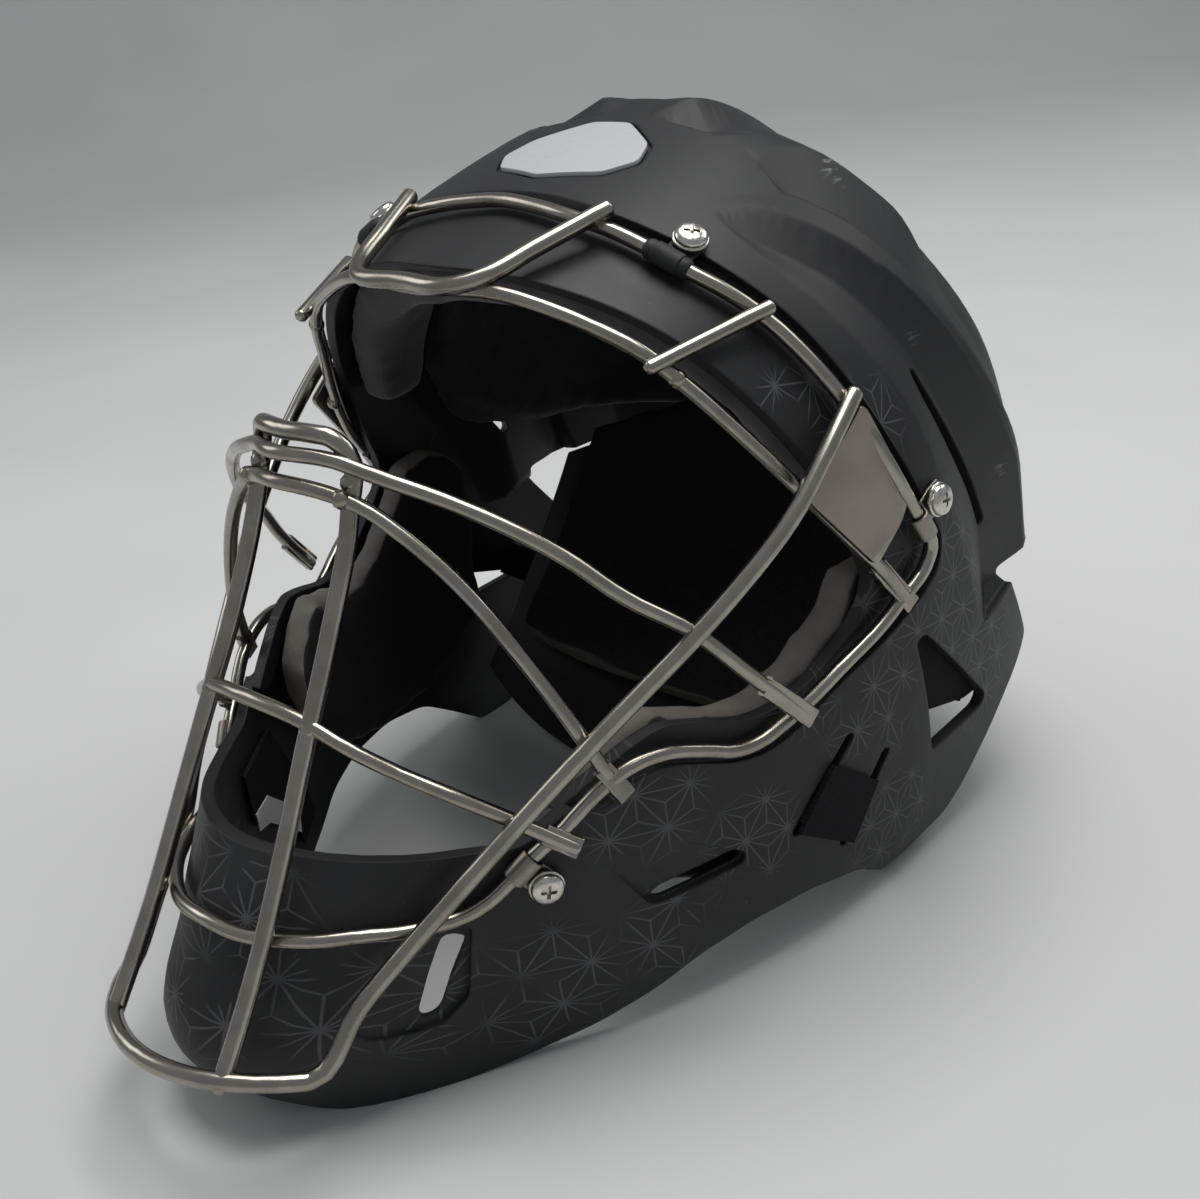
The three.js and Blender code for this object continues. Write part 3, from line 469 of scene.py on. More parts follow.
def shaded(piece, degrees=32.0):
    """Smooth faces with hard edges left sharp; big faces lead the normals."""
    piece.data.shade_smooth()
    piece.data.set_sharp_from_angle(angle=math.radians(degrees))
    lead = piece.modifiers.new("lead", "WEIGHTED_NORMAL")
    lead.keep_sharp = True
    return piece


FACE_RIM = [
    [-129, 86], [-115, 83], [-104, 81], [-92, 80], [-84, 79], [-68, 89], [-51, 100], [-41, 104],
    [-30, 101], [-16, 96], [-6, 96], [8, 101], [23, 111], [30, 118], [32, 126], [28, 136],
    [22, 154], [15, 170], [4, 193], [-4, 208], [-10, 217], [-15, 223], [-18, 226],
]
FACE_OPENING = [*FACE_RIM, [-30, 228], [-240, 228], [-240, 86]]
RIM_BAND = [
    [-58, 88], [-52, 92], [-44, 93], [-34, 89.5], [-24, 85.5], [-14, 84.5], [-5, 87], [16, 98],
    [34, 104], [47, 110], [60, 117], [63, 128], [54, 144], [44, 168], [37, 186], [30, 205],
    [23, 219], [19, 228], [17, 235], [19, 240], [20, 262], [-240, 262], [-240, 96], [-80, 96],
    [-68, 86], [-62, 85],
]
UNDER_LINE = [
    [-240, -60], [-240, 15], [-168, 13], [-154, 8], [-144, 2], [-138, 0], [-106, 0], [-90, 2],
    [-70, 6], [-52, 12], [-38, 19], [-20, 23], [3, 23], [26, 18], [42, 7], [52, 0], [67, 0],
    [76, 2], [86, 12], [98, 26], [114, 41], [128, 50], [136, 54.5], [138, 57], [130, 67],
    [119, 82], [111, 94], [128, 94.5], [160, 99], [240, 104], [240, -60],
]
SIDE_WINDOW = [[48, 97, 14], [53, 98, 14], [98, 52, 14], [95, 48, 14], [61, 48, 14]]
VENT_SLOT = [
    [68, 180, 15], [69, 171, 15], [79, 150, 15], [90, 131, 15], [101, 114, 15],
    [105, 116, 15], [96, 135, 15], [85, 155, 15], [75, 174, 15], [72, 181, 15],
]
JAW_VENT_POCKET = [
    [-66, 70, -1], [-51, 71, -1], [-21, 51, 2], [-22, 47, 2.8], [-49, 45, 2.8], [-53, 46, 2.6],
]
JAW_VENT_SLOT = [
    [-49, 50.5, 14], [-24, 52.5, 14], [-21.5, 50, 14], [-23, 47.8, 14], [-49.5, 45.6, 14],
    [-52, 48, 14],
]
CHIN_POCKET = [
    [-144, 52, -1], [-126, 56, 0], [-108, 60, 2.2], [-99, 57, 2.6], [-104, 34, 2.6],
    [-113, 27, 2.2], [-131, 30, 1.4], [-141, 40, 0],
]
CHIN_SLOT = [
    [-104, 55, 14], [-100.5, 52.5, 14], [-112, 31, 14], [-116.5, 30, 14], [-118, 33.5, 14],
    [-107, 55, 14],
]
FRONT_STRAP_SLOT = [[17, 78, 14], [20.5, 76, 14], [-1.8, 47, 14], [-5, 49, 14]]
REAR_STRAP_SLOT = [[34, 64, 14], [37.5, 62, 14], [17.8, 33, 14], [14.5, 35, 14]]

RIDGE_PIVOT = 130              # height that the steps' angles are measured about
RIDGE_ROOT = 12                # how deep a step's added body reaches into the wall
RIDGE_FADE = 0.3
RIDGE_STATIONS = 36
RIDGES = [
    # along, rise_y, rise_angle, crest_y, crest_angle, foot_y, foot_angle, run_y, run_angle,
    # lip, depth: the step nearest the centre line, the middle one, the one above the ear
    [
        [0, 74, 3, 73, 5, 71.5, 8, 70.5, 10.5, 0, 0],
        [0.12, 84, 2, 82, 8, 72, 13.5, 69, 18, 1.2, 2.6],
        [0.4, 108, 3, 106, 14, 92, 22, 82, 25, 3.2, 2.8],
        [0.65, 142, 14, 134, 25, 118, 33, 108, 36, 2.6, 3.2],
        [0.85, 161, 38, 154, 47, 142, 54, 134, 54, 0.6, 2.4],
        [1, 168, 58, 162, 62, 154, 68, 148, 68, 0, 0],
    ],
    [
        [0, 68, 22, 66, 26.5, 64, 29, 62.5, 31.5, 0, 0],
        [0.12, 80, 22, 74, 27.3, 65, 33.5, 58, 38, 0.6, 1.5],
        [0.35, 100, 25, 93, 31, 78, 40.5, 68, 44.5, 2, 3.2],
        [0.55, 121, 36, 113, 41, 92.5, 51, 82, 53, 2.6, 4.6],
        [0.75, 140, 56, 131, 60, 106, 66.5, 99, 65.5, -5, 6.8],
        [0.9, 158, 80, 149, 82, 126, 85.5, 120, 83.5, -3.6, 6],
        [1, 168, 108, 160, 108, 141, 108, 134, 106, 0, 5],
    ],
    [
        [0, 37, 28, 36, 30.7, 35, 33.5, 34, 36, 0, 0],
        [0.12, 54, 31, 46, 34, 40, 38.7, 35, 43, 0.4, 1.8],
        [0.3, 72, 41, 65, 45.3, 56, 48.5, 44, 56, 0.6, 3.8],
        [0.5, 92, 57, 87, 59.5, 72, 60.5, 56, 70, 0, 5.6],
        [0.7, 113, 75, 108, 76, 87, 77, 68, 88, -1.5, 7],
        [0.88, 130, 91, 124, 91.5, 99, 92, 80, 101, 0, 7],
        [1, 136, 108, 131, 108, 106, 108, 90, 114, 0, 7],
    ],
]


def ridge_point(y, angle, offset):
    """The place on the left half at a Y whose angle from straight up is the one asked for."""
    low, high = np.full(y.shape, 84.0), np.full(y.shape, CROWN - 0.05)
    for _ in range(24):
        z = (low + high) / 2
        at = on_shell(y, z, 0)
        wide = np.degrees(np.arctan2(at[..., 0], z - RIDGE_PIVOT)) > angle
        low, high = np.where(wide, z, low), np.where(wide, high, z)
    return on_shell(y, low, offset)


def ridge_step(rows, inward, close_at):
    """One step of the crown, closed above it to cut the space away or below it to fill its rise."""
    fade = RIDGE_FADE if close_at > 0 else -RIDGE_FADE
    along = np.linspace(0, 1, RIDGE_STATIONS + 1)
    rise_y, rise_a, crest_y, crest_a, foot_y, foot_a, run_y, run_a, lip, depth = (
        table_at(rows, along).T
    )
    ease = np.where((along == 0) | (along == 1), fade, 0)
    closed, faded = close_at + np.zeros_like(along), fade + np.zeros_like(along)
    places = [(rise_y, rise_a, closed), (rise_y, rise_a, faded)]
    for share, lift in ((0.5, 0.42), (0.8, 0.84)):
        places.append((
            rise_y + (crest_y - rise_y) * share, rise_a + (crest_a - rise_a) * share,
            lip * lift + ease,
        ))
    places += [(crest_y, crest_a, lip + ease), (foot_y, foot_a, ease - depth)]
    for share, sink in ((0.22, 0.84), (0.45, 0.5), (0.72, 0.16)):
        places.append((
            foot_y + (run_y - foot_y) * share, foot_a + (run_a - foot_a) * share,
            ease - depth * sink,
        ))
    places += [(run_y, run_a, faded), (run_y, run_a, closed)]
    y, angle, offset = (np.array(column).T for column in zip(*places))
    left = lofted(ridge_point(y, angle, offset - inward))
    return joined([left, mirrored(left)])


shell = solid("helmet_shell", *shell_body(0))
band = rounded(RIM_BAND, 5)
carve(shell, across_prism(band))
carve(shell, shell_body(-RECESS), "UNION")
for rows in RIDGES:
    carve(shell, ridge_step(rows, 0, -RIDGE_ROOT), "UNION")
    carve(shell, ridge_step(rows, 0, CUT_ABOVE))
inner_band = [
    [y + WALL if y > -200 else y, z] if z > 125 else [y, z - WALL * 0.7] for y, z in band
]
cavity = solid("cavity", *shell_body(-WALL, around=120, floor=-50.0))
carve(cavity, across_prism(inner_band))
carve(cavity, shell_body(-WALL - RECESS, around=120, floor=-50.0), "UNION")
for rows in RIDGES:
    carve(cavity, ridge_step(rows, WALL, CUT_ABOVE))
carve(shell, cavity)
carve(shell, across_prism(rounded(FACE_OPENING, 4)))
carve(shell, across_prism(rounded(UNDER_LINE, 5), -175, 175))
first_cuts = [
    SIDE_WINDOW, VENT_SLOT, JAW_VENT_POCKET, CHIN_POCKET, FRONT_STRAP_SLOT, REAR_STRAP_SLOT,
]
for cuts in (first_cuts, [JAW_VENT_SLOT, CHIN_SLOT]):
    made = [pocket(corners) for corners in cuts]
    carve(shell, joined(made + [mirrored(body) for body in made]))

# The forehead badge's seat is sunk into the crown.
BADGE_HALF = [[8, 66.5], [25, 54.5], [29, 44], [22, 34], [0, 28]]
BADGE_THICK = 1.4
BADGE_SINK = 0.6
BADGE_MIDDLE = 48
SEAT_MARGIN = 1.6
SEAT_FLOOR = 0.6               # how far the seat's floor lies below the badge


def badge_column(grow):
    """A tall column over the badge's outline, its corners a little rounded."""
    outline = BADGE_HALF + [[-x, y] for x, y in BADGE_HALF[-2::-1]]
    rows = rounded([[x, y - BADGE_MIDDLE] for x, y in outline], 2.5)
    reach = np.linalg.norm(rows, axis=1, keepdims=True)
    rows = rows * (reach + grow) / reach + [0, BADGE_MIDDLE]
    return lofted([[[x, y, z] for x, y in rows] for z in (215, 280)])


def cap_slab(outer, inner):
    """The crown's skin between two offsets."""
    cap = solid("cap", *shell_body(outer, floor=100, jaw_steps=4))
    return carve(cap, shell_body(inner, floor=90, jaw_steps=4))


seat = cap_slab(4, -BADGE_SINK - SEAT_FLOOR)
carve(seat, badge_column(SEAT_MARGIN), "INTERSECT")
carve(shell, seat)
shaded(shell, 34)

# Matte charcoal with a fine moulded grain, thin hemp-leaf lines in patches, dust and scuffs.
CHARCOAL = (0.016, 0.016, 0.017, 1)
DUSTY = (0.062, 0.062, 0.062, 1)
LINE_GREY = (0.12, 0.12, 0.127, 1)
SCUFF_PALE = (0.30, 0.30, 0.30, 1)
LEAF_SIDE = 0.016              # metres along one triangle of the lattice
LEAF_LINE = 0.00036
LEAF_TILT = 0.12
WRAP_Y = 0.0656                # the upright line that the lattice is wrapped round, and how far out
WRAP_RADIUS = 0.14
LEAF_SPOTS = [
    # x, y, z, radius of a patch of lines on the wearer's left, and its mirror image
    [102, 17, 183, 16], [112, 37, 172, 20], [121, 52, 122, 34], [121, 70, 104, 30],
    [118, 92, 66, 30], [117, 30, 78, 26], [113, 42, 30, 26], [110, 2, 98, 18],
    [88, -52, 82, 26], [101, -18, 55, 22], [70, -83, 27, 28], [50, -112, 36, 24],
    [90, -46, 34, 22], [12, -140, 66, 26], [36, -137, 44, 22], [8, -155, 46, 22],
]
SCUFFS = [[59, 96, 236, 12], [66, 92, 232, 10], [119, 113, 131, 7], [108, 77, 187, 6]]
shell_finish, shell_shader, place = new_finish("moulded_charcoal", {"Specular IOR Level": 0.3})
x, y, z = place.split()
mirror_x = x.maths("ABSOLUTE", x)
folded = x.node("ShaderNodeCombineXYZ", sockets={0: mirror_x, 1: y, 2: z})
around = x.maths("ARCTAN2", mirror_x, WRAP_Y - y) * WRAP_RADIUS


def hemp_leaf(along, up, side, line):
    """1 on the lines of a hemp-leaf lattice: triangles, each cut in three from its middle."""
    height = side * math.sqrt(3) / 2
    parts = []
    for degrees in (90, 210, 330):
        c, s = (f(math.radians(degrees)) / height for f in (math.cos, math.sin))
        run = along * c + up * s
        parts.append(run.maths("FRACT", run))
    down = parts[0].maths("GREATER_THAN", parts[0] + parts[1] + parts[2], 1.5)
    corners = [part + down * (1 - 2 * part) for part in parts]
    low = down.maths("MINIMUM", down.maths("MINIMUM", corners[0], corners[1]), corners[2])
    high = down.maths("MAXIMUM", down.maths("MAXIMUM", corners[0], corners[1]), corners[2])
    spoke = (1 - high - 2 * low) * (1 / math.sqrt(3))
    nearest = down.maths("MINIMUM", low, spoke) * height
    return nearest.ramp(line, line * 0.35)


def near_spots(rows, core):
    """1 inside the spots [x, y, z, radius] up to a share of their radius, fading out to 0."""
    total = None
    for sx, sy, sz, radius in rows:
        far = folded.vector("DISTANCE", (sx * MM, (sy + FRAME_Y) * MM, sz * MM))
        spot = far.ramp(radius * MM, radius * core * MM)
        total = spot if total is None else total.maths("MAXIMUM", total, spot)
    return total


broken = place.noise(55.0, 1.0).ramp(0.34, 0.46)
facing = place.node("ShaderNodeNewGeometry", output="Normal")
outside = place.vector("SUBTRACT", (0, 0.03, 0.11), "Vector").vector("DOT_PRODUCT", facing)
lattice = hemp_leaf(around, z + around * LEAF_TILT, LEAF_SIDE, LEAF_LINE)
leaf = lattice * near_spots(LEAF_SPOTS, 0.55) * broken * outside.ramp(0.0, 0.005)
dust = place.noise(9.0, 5.0, 0.6).ramp(0.52, 0.8) * 0.5
specks = place.noise(420.0, 1.0).ramp(0.78, 0.82) * 0.7
scratchy = place.node("ShaderNodeMapping", sockets={"Vector": place, "Scale": (900, 140, 900)})
scuffed = near_spots(SCUFFS, 0.0) * scratchy.noise(1.0, 2.0).ramp(0.5, 0.66) * 0.6
colour = between(dust, CHARCOAL, DUSTY)
colour = between(leaf * 0.55, colour, LINE_GREY)
colour = between(specks, colour, DUSTY)
colour = between(scuffed, colour, SCUFF_PALE)
grain = place.noise(2600.0, 2.0, 0.6)
into(
    shell_shader, Base_Color=colour,
    Roughness=0.46 + dust * 0.2 + place.noise(160.0, 3.0) * 0.08,
    Normal=relief(grain * 0.5 + leaf * 0.4, 0.00006, 0.6, rounded_edge=0.0013),
)
dress(shell, shell_finish)
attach(shell, "root")
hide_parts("shell")

# ---- forehead badge ----
# A five-sided plate of white gloss plastic stuck into a seat just under flush at the top of the
# brow.  Its face is left plain.
badge = cap_slab(BADGE_THICK - BADGE_SINK, -BADGE_SINK)
carve(badge, badge_column(0), "INTERSECT")
badge.name = "forehead_plate"
shaded(badge)
badge_finish, badge_shader, place = new_finish(
    "white_gloss", {"Coat Weight": 0.35, "Coat Roughness": 0.15},
)
grime = place.noise(160.0, 4.0, 0.65).ramp(0.5, 0.75)
colour = between(grime * 0.35, (0.47, 0.485, 0.485, 1), (0.33, 0.335, 0.33, 1))
into(
    badge_shader, Base_Color=colour, Roughness=0.28 + grime * 0.25,
    Normal=relief(place.noise(900.0, 2.0), 0.00002, 0.5, rounded_edge=0.0007),
)
dress(badge, badge_finish)
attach(badge, "root")
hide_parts("forehead_badge")

# ---- back plate ----
# A separate moulded plate that closes the neck between the jaw's rear corners.  On the real one it
# slides to fit the head and is held by elastic; here it stands where it is tied.
PLATE_THICK = 3.6
PLATE_HALF = 102
PLATE_TAPER = 10               # how much narrower each side is at the top
PLATE_SWELL = 15
PLATE_RIM = 1.004              # how far the rounded sides stand out
PLATE_COLUMNS = 60
PLATE_ROWS = 34


def plate_point(across, up, inward):
    """Across runs -1..1 from side to side, up 0..1 from the nape rim to the crown's back rim."""
    across, up, inward = np.broadcast_arrays(
        *[np.asarray(v, float)[..., None] for v in (across, up, inward)]
    )
    bow = across**2
    bottom = np.concatenate([PLATE_HALF * across, 48 + 16 * bow, 1 + 18 * bow**2], -1)
    top = np.concatenate([
        (PLATE_HALF - PLATE_TAPER) * across, 166 - 46 * np.abs(across) ** 3, 112 - 12 * bow,
    ], -1)
    outward = np.concatenate([0.5 * across, 0 * across + 0.62, 0 * across - 0.72], -1)
    outward /= np.linalg.norm(outward, axis=-1, keepdims=True)
    swell = PLATE_SWELL * np.maximum(np.sin(math.pi * up), 0) ** 0.8 * (1 - 0.6 * bow)
    return bottom + (top - bottom) * up + outward * (swell - inward)


def plate_slab(outer, inner, across_range, up_range):
    """A slab that follows the plate between two depths, its sides a little rounded."""
    across = np.linspace(*across_range, PLATE_COLUMNS + 1)
    first, last = (end * PLATE_RIM for end in across_range)
    middle = (outer + inner) / 2
    above, below = middle * 0.75 + outer * 0.25, middle * 0.75 + inner * 0.25
    rings = []
    for up in np.linspace(*up_range, PLATE_ROWS + 1):
        rings.append(np.concatenate([
            plate_point(first, up, above)[None], plate_point(across, up, outer),
            plate_point(last, up, above)[None], plate_point(last, up, below)[None],
            plate_point(across[::-1], up, inner), plate_point(first, up, below)[None],
        ]))
    return lofted(rings, band_ends=True)


back_plate = solid("back_plate_moulding", *plate_slab(0, PLATE_THICK, (-1, 1), (0, 1)))
shaded(back_plate, 50)
plate_finish, plate_shader, place = new_finish("moulded_black", {"Specular IOR Level": 0.4})
cloud = place.noise(30.0, 4.0)
into(
    plate_shader, Base_Color=between(cloud, (0.018, 0.017, 0.017, 1), (0.030, 0.029, 0.029, 1)),
    Roughness=0.38 + cloud * 0.15,
    Normal=relief(place.noise(1800.0, 2.0), 0.00005, 0.5, rounded_edge=0.0012),
)
dress(back_plate, plate_finish)
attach(back_plate, "root")
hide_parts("back_plate")

# ---- cage ----
# Steel wires bent to shape, resistance-welded where they cross, then plated a smoky nickel: a rim
# wire that lies in the shell's band, heavy wires in front of the nose and cheeks, lighter wires
# across the eyes, and a flat sheet over each temple corner.
HEAVY_WIRE = 2.75
LIGHT_WIRE = 2.3
WIRE_STEPS = 5
WIRE_SIDES = 16
STRIP_STEPS = 6
BAR_CORNER = 0.35              # share of a bar's half thickness that is cut off its corners
FLAT_END_HALF = (3.1, 1.5)
SHEET_HALF_THICK = 0.9
SHEET_CORNER = 2.0
SHEET_Y = (4, 47)              # where the sheets' own faces lie
SHEET_Z = (131, 182)
SHEET_FACE = 3e-5              # smaller faces than this, in square metres, are wire
WELD = 2.9
RIM_WIRE = [
    [0, 12, 238.8], [15, 10.5, 238], [30, 9, 236], [44, 9.5, 233], [58, 10.5, 228],
    [71, 12.5, 221.5], [80.5, 16.5, 215.5], [91, 22, 206], [101.5, 27, 193.5], [108, 31, 183],
    [115, 37, 168], [120, 43, 152], [122, 50, 138], [122.6, 55, 128], [122, 52, 122],
    [120.5, 41, 116], [118.5, 31, 110], [115.5, 15, 104], [111.5, 1, 97], [108, -8, 92.5],
    [105.5, -15, 90], [102.5, -23.5, 90], [98.3, -33.5, 94], [93.5, -44, 97.5], [89, -54, 97.5],
    [84.2, -64.7, 93], [80.8, -71, 88], [78, -75.5, 83.5], [73.2, -83, 78], [67.6, -91.6, 69.6],
    [63.8, -97.5, 65.3], [60, -103, 63.2], [56.5, -108.5, 63], [50, -118, 63.5],
    [43, -126.5, 65], [36, -134, 65.4], [27, -140.7, 66], [14, -147, 67], [0, -148.7, 68.2],
]
BROW_WIRE = [
    [0, -28, 222], [16, -28, 223], [31, -26, 222.5], [45, -22, 218.5], [58, -17.5, 213],
    [71, -13, 206], [80, -8, 197], [90, 0, 183], [100, 8, 168], [110.5, 18, 150],
    [115.2, 25, 139], [118.8, 32, 129.5], [121, 41, 116],
]
BUMPER = [[0, -33, 225.5], [21, -32.5, 225.5], [26, -28, 226.5], [34, -10, 231.8], [43, 12, 238.2]]
SHORT_BAR = [[92.5, 20.9, 210.7], [77, -16, 202.5]]
UPPER_EYE_WIRE = [
    [0, -90, 192], [17, -84, 190], [29, -80, 186], [51, -70, 177], [75, -57, 161.5],
    [87, -48, 148], [99, -35, 134.5], [109, -22, 116], [116, -7, 97],
]
LOWER_EYE_WIRE = [
    [0, -92, 184], [17, -87, 181], [27, -83.5, 177], [35, -81, 171.5], [52, -76, 156],
    [68, -71, 134], [80, -66, 112], [85.5, -62, 97],
]
MOUTH_WIRE = [
    [0, -117, 126], [24, -114, 122], [34, -111, 116.5], [46, -104, 108], [60, -96, 100],
    [70, -87, 91], [82, -75, 78.5],
]
DIAGONAL = [
    [0, -179, 39], [12, -177.5, 38.8], [24, -173, 38], [35, -165, 36.3], [42, -158, 34.8],
    [45, -154, 34], [50, -136, 50], [56, -119, 62.5], [65, -104, 77], [74, -87, 92],
    [84, -68, 108], [92, -53, 120], [100.5, -36, 133], [107, -20, 145], [112, -3, 158],
    [113, 16, 173], [112, 32, 184],
]
NOSE_GUARD = [
    [0, -85, 196.8], [9, -84, 196.8], [15.5, -81.5, 195.4], [19.6, -79.6, 190.5], [21, -84, 176],
    [22, -101, 143], [23.5, -118, 116], [25, -134, 90], [26, -150, 65], [27, -171.5, 36],
]
FLAT_ENDS = [
    # the last stretch of each cross wire, pressed flat over the rim wire
    [[117.5, 32, 130], [121.9, 43.4, 112.9]],
    [[111, -19, 112], [117.1, -5.8, 96.2]],
    [[84.5, -63, 100], [89, -58.9, 89.7]],
    [[76, -81, 85], [82.6, -74.4, 78.4]],
]
SIDE_SHEET = [
    [113, 34, 181], [119, 44, 156], [120.6, 46, 149], [120.8, 40.5, 142], [119.5, 28, 132],
    [111.5, 6, 160],
]


def both_halves(rows):
    """A symmetric wire from its left half, which starts on the centre line."""
    return [[-x, y, z] for x, y, z in rows[:0:-1]] + list(rows)


def bent_line(rows, steps, closed=False):
    """A smooth line through points: the places on it and its direction at each."""
    rows = np.asarray(rows, float)
    reaches = np.diff(np.vstack([rows, rows[:1]]) if closed else rows, axis=0)
    lengths = np.linalg.norm(reaches, axis=1, keepdims=True)
    slopes = reaches / lengths
    if closed:
        before, after = np.roll(slopes, 1, axis=0), slopes
        last, following = np.roll(lengths, 1, axis=0), lengths
    else:
        before, after = np.vstack([slopes[:1], slopes]), np.vstack([slopes, slopes[-1:]])
        last, following = np.vstack([lengths[:1], lengths]), np.vstack([lengths, lengths[-1:]])
    tangents = (before * following + after * last) / (last + following)
    spans = len(reaches)
    keys = np.linspace(0, spans, spans * steps + 1)
    if closed:
        keys = keys[:-1]
    i = np.minimum(keys.astype(int), spans - 1)
    j = (i + 1) % len(rows)
    t = (keys - i)[:, None]
    p1, p2 = rows[i], rows[j]
    m1, m2 = tangents[i] * lengths[i], tangents[j] * lengths[i]
    places = (
        (2 * t**3 - 3 * t**2 + 1) * p1 + (t**3 - 2 * t**2 + t) * m1
        + (3 * t**2 - 2 * t**3) * p2 + (t**3 - t**2) * m2
    )
    ways = (
        (6 * t**2 - 6 * t) * (p1 - p2) + (3 * t**2 - 4 * t + 1) * m1 + (3 * t**2 - 2 * t) * m2
    )
    return places, ways / np.linalg.norm(ways, axis=1, keepdims=True)


def bent_wire(rows, radius, closed=False):
    """A round wire along a bent line, its cut ends a little rounded."""
    places, ways = bent_line(rows, WIRE_STEPS, closed)
    side = unit(np.cross(ways[0], [0.3, 0.2, 0.9]))
    angles = np.arange(WIRE_SIDES) / WIRE_SIDES * math.tau
    frames = []
    for way in ways:
        side = unit(side - way * side.dot(way))
        frames.append((side, np.cross(way, side)))
    if closed:
        # spread the twist that is left at the join over the whole wire
        end = frames[-1][0] - ways[0] * frames[-1][0].dot(ways[0])
        twist = math.atan2(end.dot(frames[0][1]), end.dot(frames[0][0]))
    rings = []
    for k, (at, (u, v)) in enumerate(zip(places, frames)):
        turn = angles - (twist * k / len(places) if closed else 0)
        rings.append(at + radius * (np.cos(turn)[:, None] * u + np.sin(turn)[:, None] * v))
    if not closed:
        for end, way in ((0, -ways[0]), (-1, ways[-1])):
            middle = rings[end].mean(0)
            for share, push in ((0.82, 0.30), (0.55, 0.42)):
                ring = middle + (rings[end] - middle) * share + way * radius * push
                rings.insert(0 if end == 0 else len(rings), ring)
    return lofted(rings, closed=closed)


def bar_section(wide, thick, wide_edge, thick_edge):
    """A flat bar's section, its four corners cut off between the edges and the full sizes."""
    half = [(wide, thick_edge), (wide_edge, thick), (-wide_edge, thick), (-wide, thick_edge)]
    return half + [(-a, -b) for a, b in half]


def strip(rows, up, half_width, half_thick):
    """A flat bar along points with softened edges, its flat side facing `up`."""
    places, ways = bent_line(rows, STRIP_STEPS)
    cut = BAR_CORNER * half_thick
    outline = bar_section(half_width, half_thick, half_width - cut, half_thick - cut)
    rings = []
    for at, way in zip(places, ways):
        across = unit(np.cross(way, up))
        thick = np.cross(across, way)
        rings.append([at + across * a + thick * b for a, b in outline])
    return lofted(rings)


def flat_sheet(rows, half_thick):
    """A flat plate from its outline, with rounded corners and softened edges."""
    rows = rounded(rows, SHEET_CORNER)
    middle = rows.mean(0)
    normal = unit(sum(
        np.cross(p - middle, rows[(i + 1) % len(rows)] - middle) for i, p in enumerate(rows)
    ))
    inset = middle + (rows - middle) * 0.992
    return lofted([
        inset - normal * half_thick, rows - normal * half_thick * 0.6,
        rows + normal * half_thick * 0.6, inset + normal * half_thick,
    ])


def weld_bead(at, radius):
    """A small squashed ball of weld metal where two wires cross."""
    rings = []
    for k in range(1, 6):
        tilt = math.pi * k / 6
        rings.append([
            [
                at[0] + radius * math.sin(tilt) * math.cos(a),
                at[1] + radius * math.sin(tilt) * math.sin(a),
                at[2] - radius * math.cos(tilt),
            ]
            for a in np.arange(10) / 10 * math.tau
        ])
    return lofted(rings)


whole_wires = [
    (BROW_WIRE, LIGHT_WIRE), (BUMPER, HEAVY_WIRE), (UPPER_EYE_WIRE, LIGHT_WIRE),
    (LOWER_EYE_WIRE, LIGHT_WIRE), (MOUTH_WIRE, LIGHT_WIRE), (DIAGONAL, HEAVY_WIRE),
    (NOSE_GUARD, HEAVY_WIRE),
]
rim_loop = RIM_WIRE + [[-x, y, z] for x, y, z in RIM_WIRE[-2:0:-1]]
cage_parts = [bent_wire(rim_loop, LIGHT_WIRE, closed=True)]
for rows, radius in whole_wires:
    cage_parts.append(bent_wire(both_halves(rows), radius))
left_parts = [bent_wire(SHORT_BAR, LIGHT_WIRE), flat_sheet(SIDE_SHEET, SHEET_HALF_THICK)]
left_parts += [strip(rows, [1, -0.25, 0.1], *FLAT_END_HALF) for rows in FLAT_ENDS]
cross_points = [
    [80, -8, 197], [106, 12, 158.5], [27, -171.5, 36.4], [94, -49, 123], [84, -67, 108.2],
    [20.5, -82, 183], [21.2, -86.5, 180], [23.3, -115, 121], [72.5, -88, 90.5],
]
left_parts += [weld_bead(at, WELD) for at in cross_points]
cage = solid("cage_wires", *joined(cage_parts + left_parts + [mirrored(p) for p in left_parts]))
shaded(cage, 45)
NICKEL = (0.38, 0.355, 0.305, 1)
NICKEL_DARK = (0.29, 0.265, 0.225, 1)
SHEET_TAN = (0.36, 0.315, 0.265, 1)
cage_finish, cage_shader, place = new_finish("smoky_nickel", {"Metallic": 1.0})
worn = place.noise(70.0, 4.0, 0.6).ramp(0.35, 0.7)
into(
    cage_shader, Base_Color=between(worn, NICKEL, NICKEL_DARK),
    Roughness=0.17 + worn * 0.08 + place.noise(500.0, 2.0) * 0.06,
    Normal=relief(place.noise(380.0, 3.0), 0.00002, 0.08),
)
sheet_finish, sheet_shader, place = new_finish("satin_sheet", {"Metallic": 1.0})
cloud = place.noise(45.0, 4.0)
into(
    sheet_shader, Base_Color=between(cloud.ramp(0.3, 0.7), SHEET_TAN, (0.29, 0.255, 0.215, 1)),
    Roughness=0.34 + cloud * 0.12,
    Normal=relief(place.noise(1500.0, 3.0), 0.00004, 0.6, rounded_edge=0.0005),
)
cage.data.materials.append(cage_finish)
cage.data.materials.append(sheet_finish)
for face in cage.data.polygons:
    _, y, z = (c / MM for c in face.center)
    in_sheet = SHEET_Y[0] < y - FRAME_Y < SHEET_Y[1] and SHEET_Z[0] < z < SHEET_Z[1]
    if in_sheet and face.area > SHEET_FACE:
        face.material_index = 1
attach(cage, "root")
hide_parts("cage")

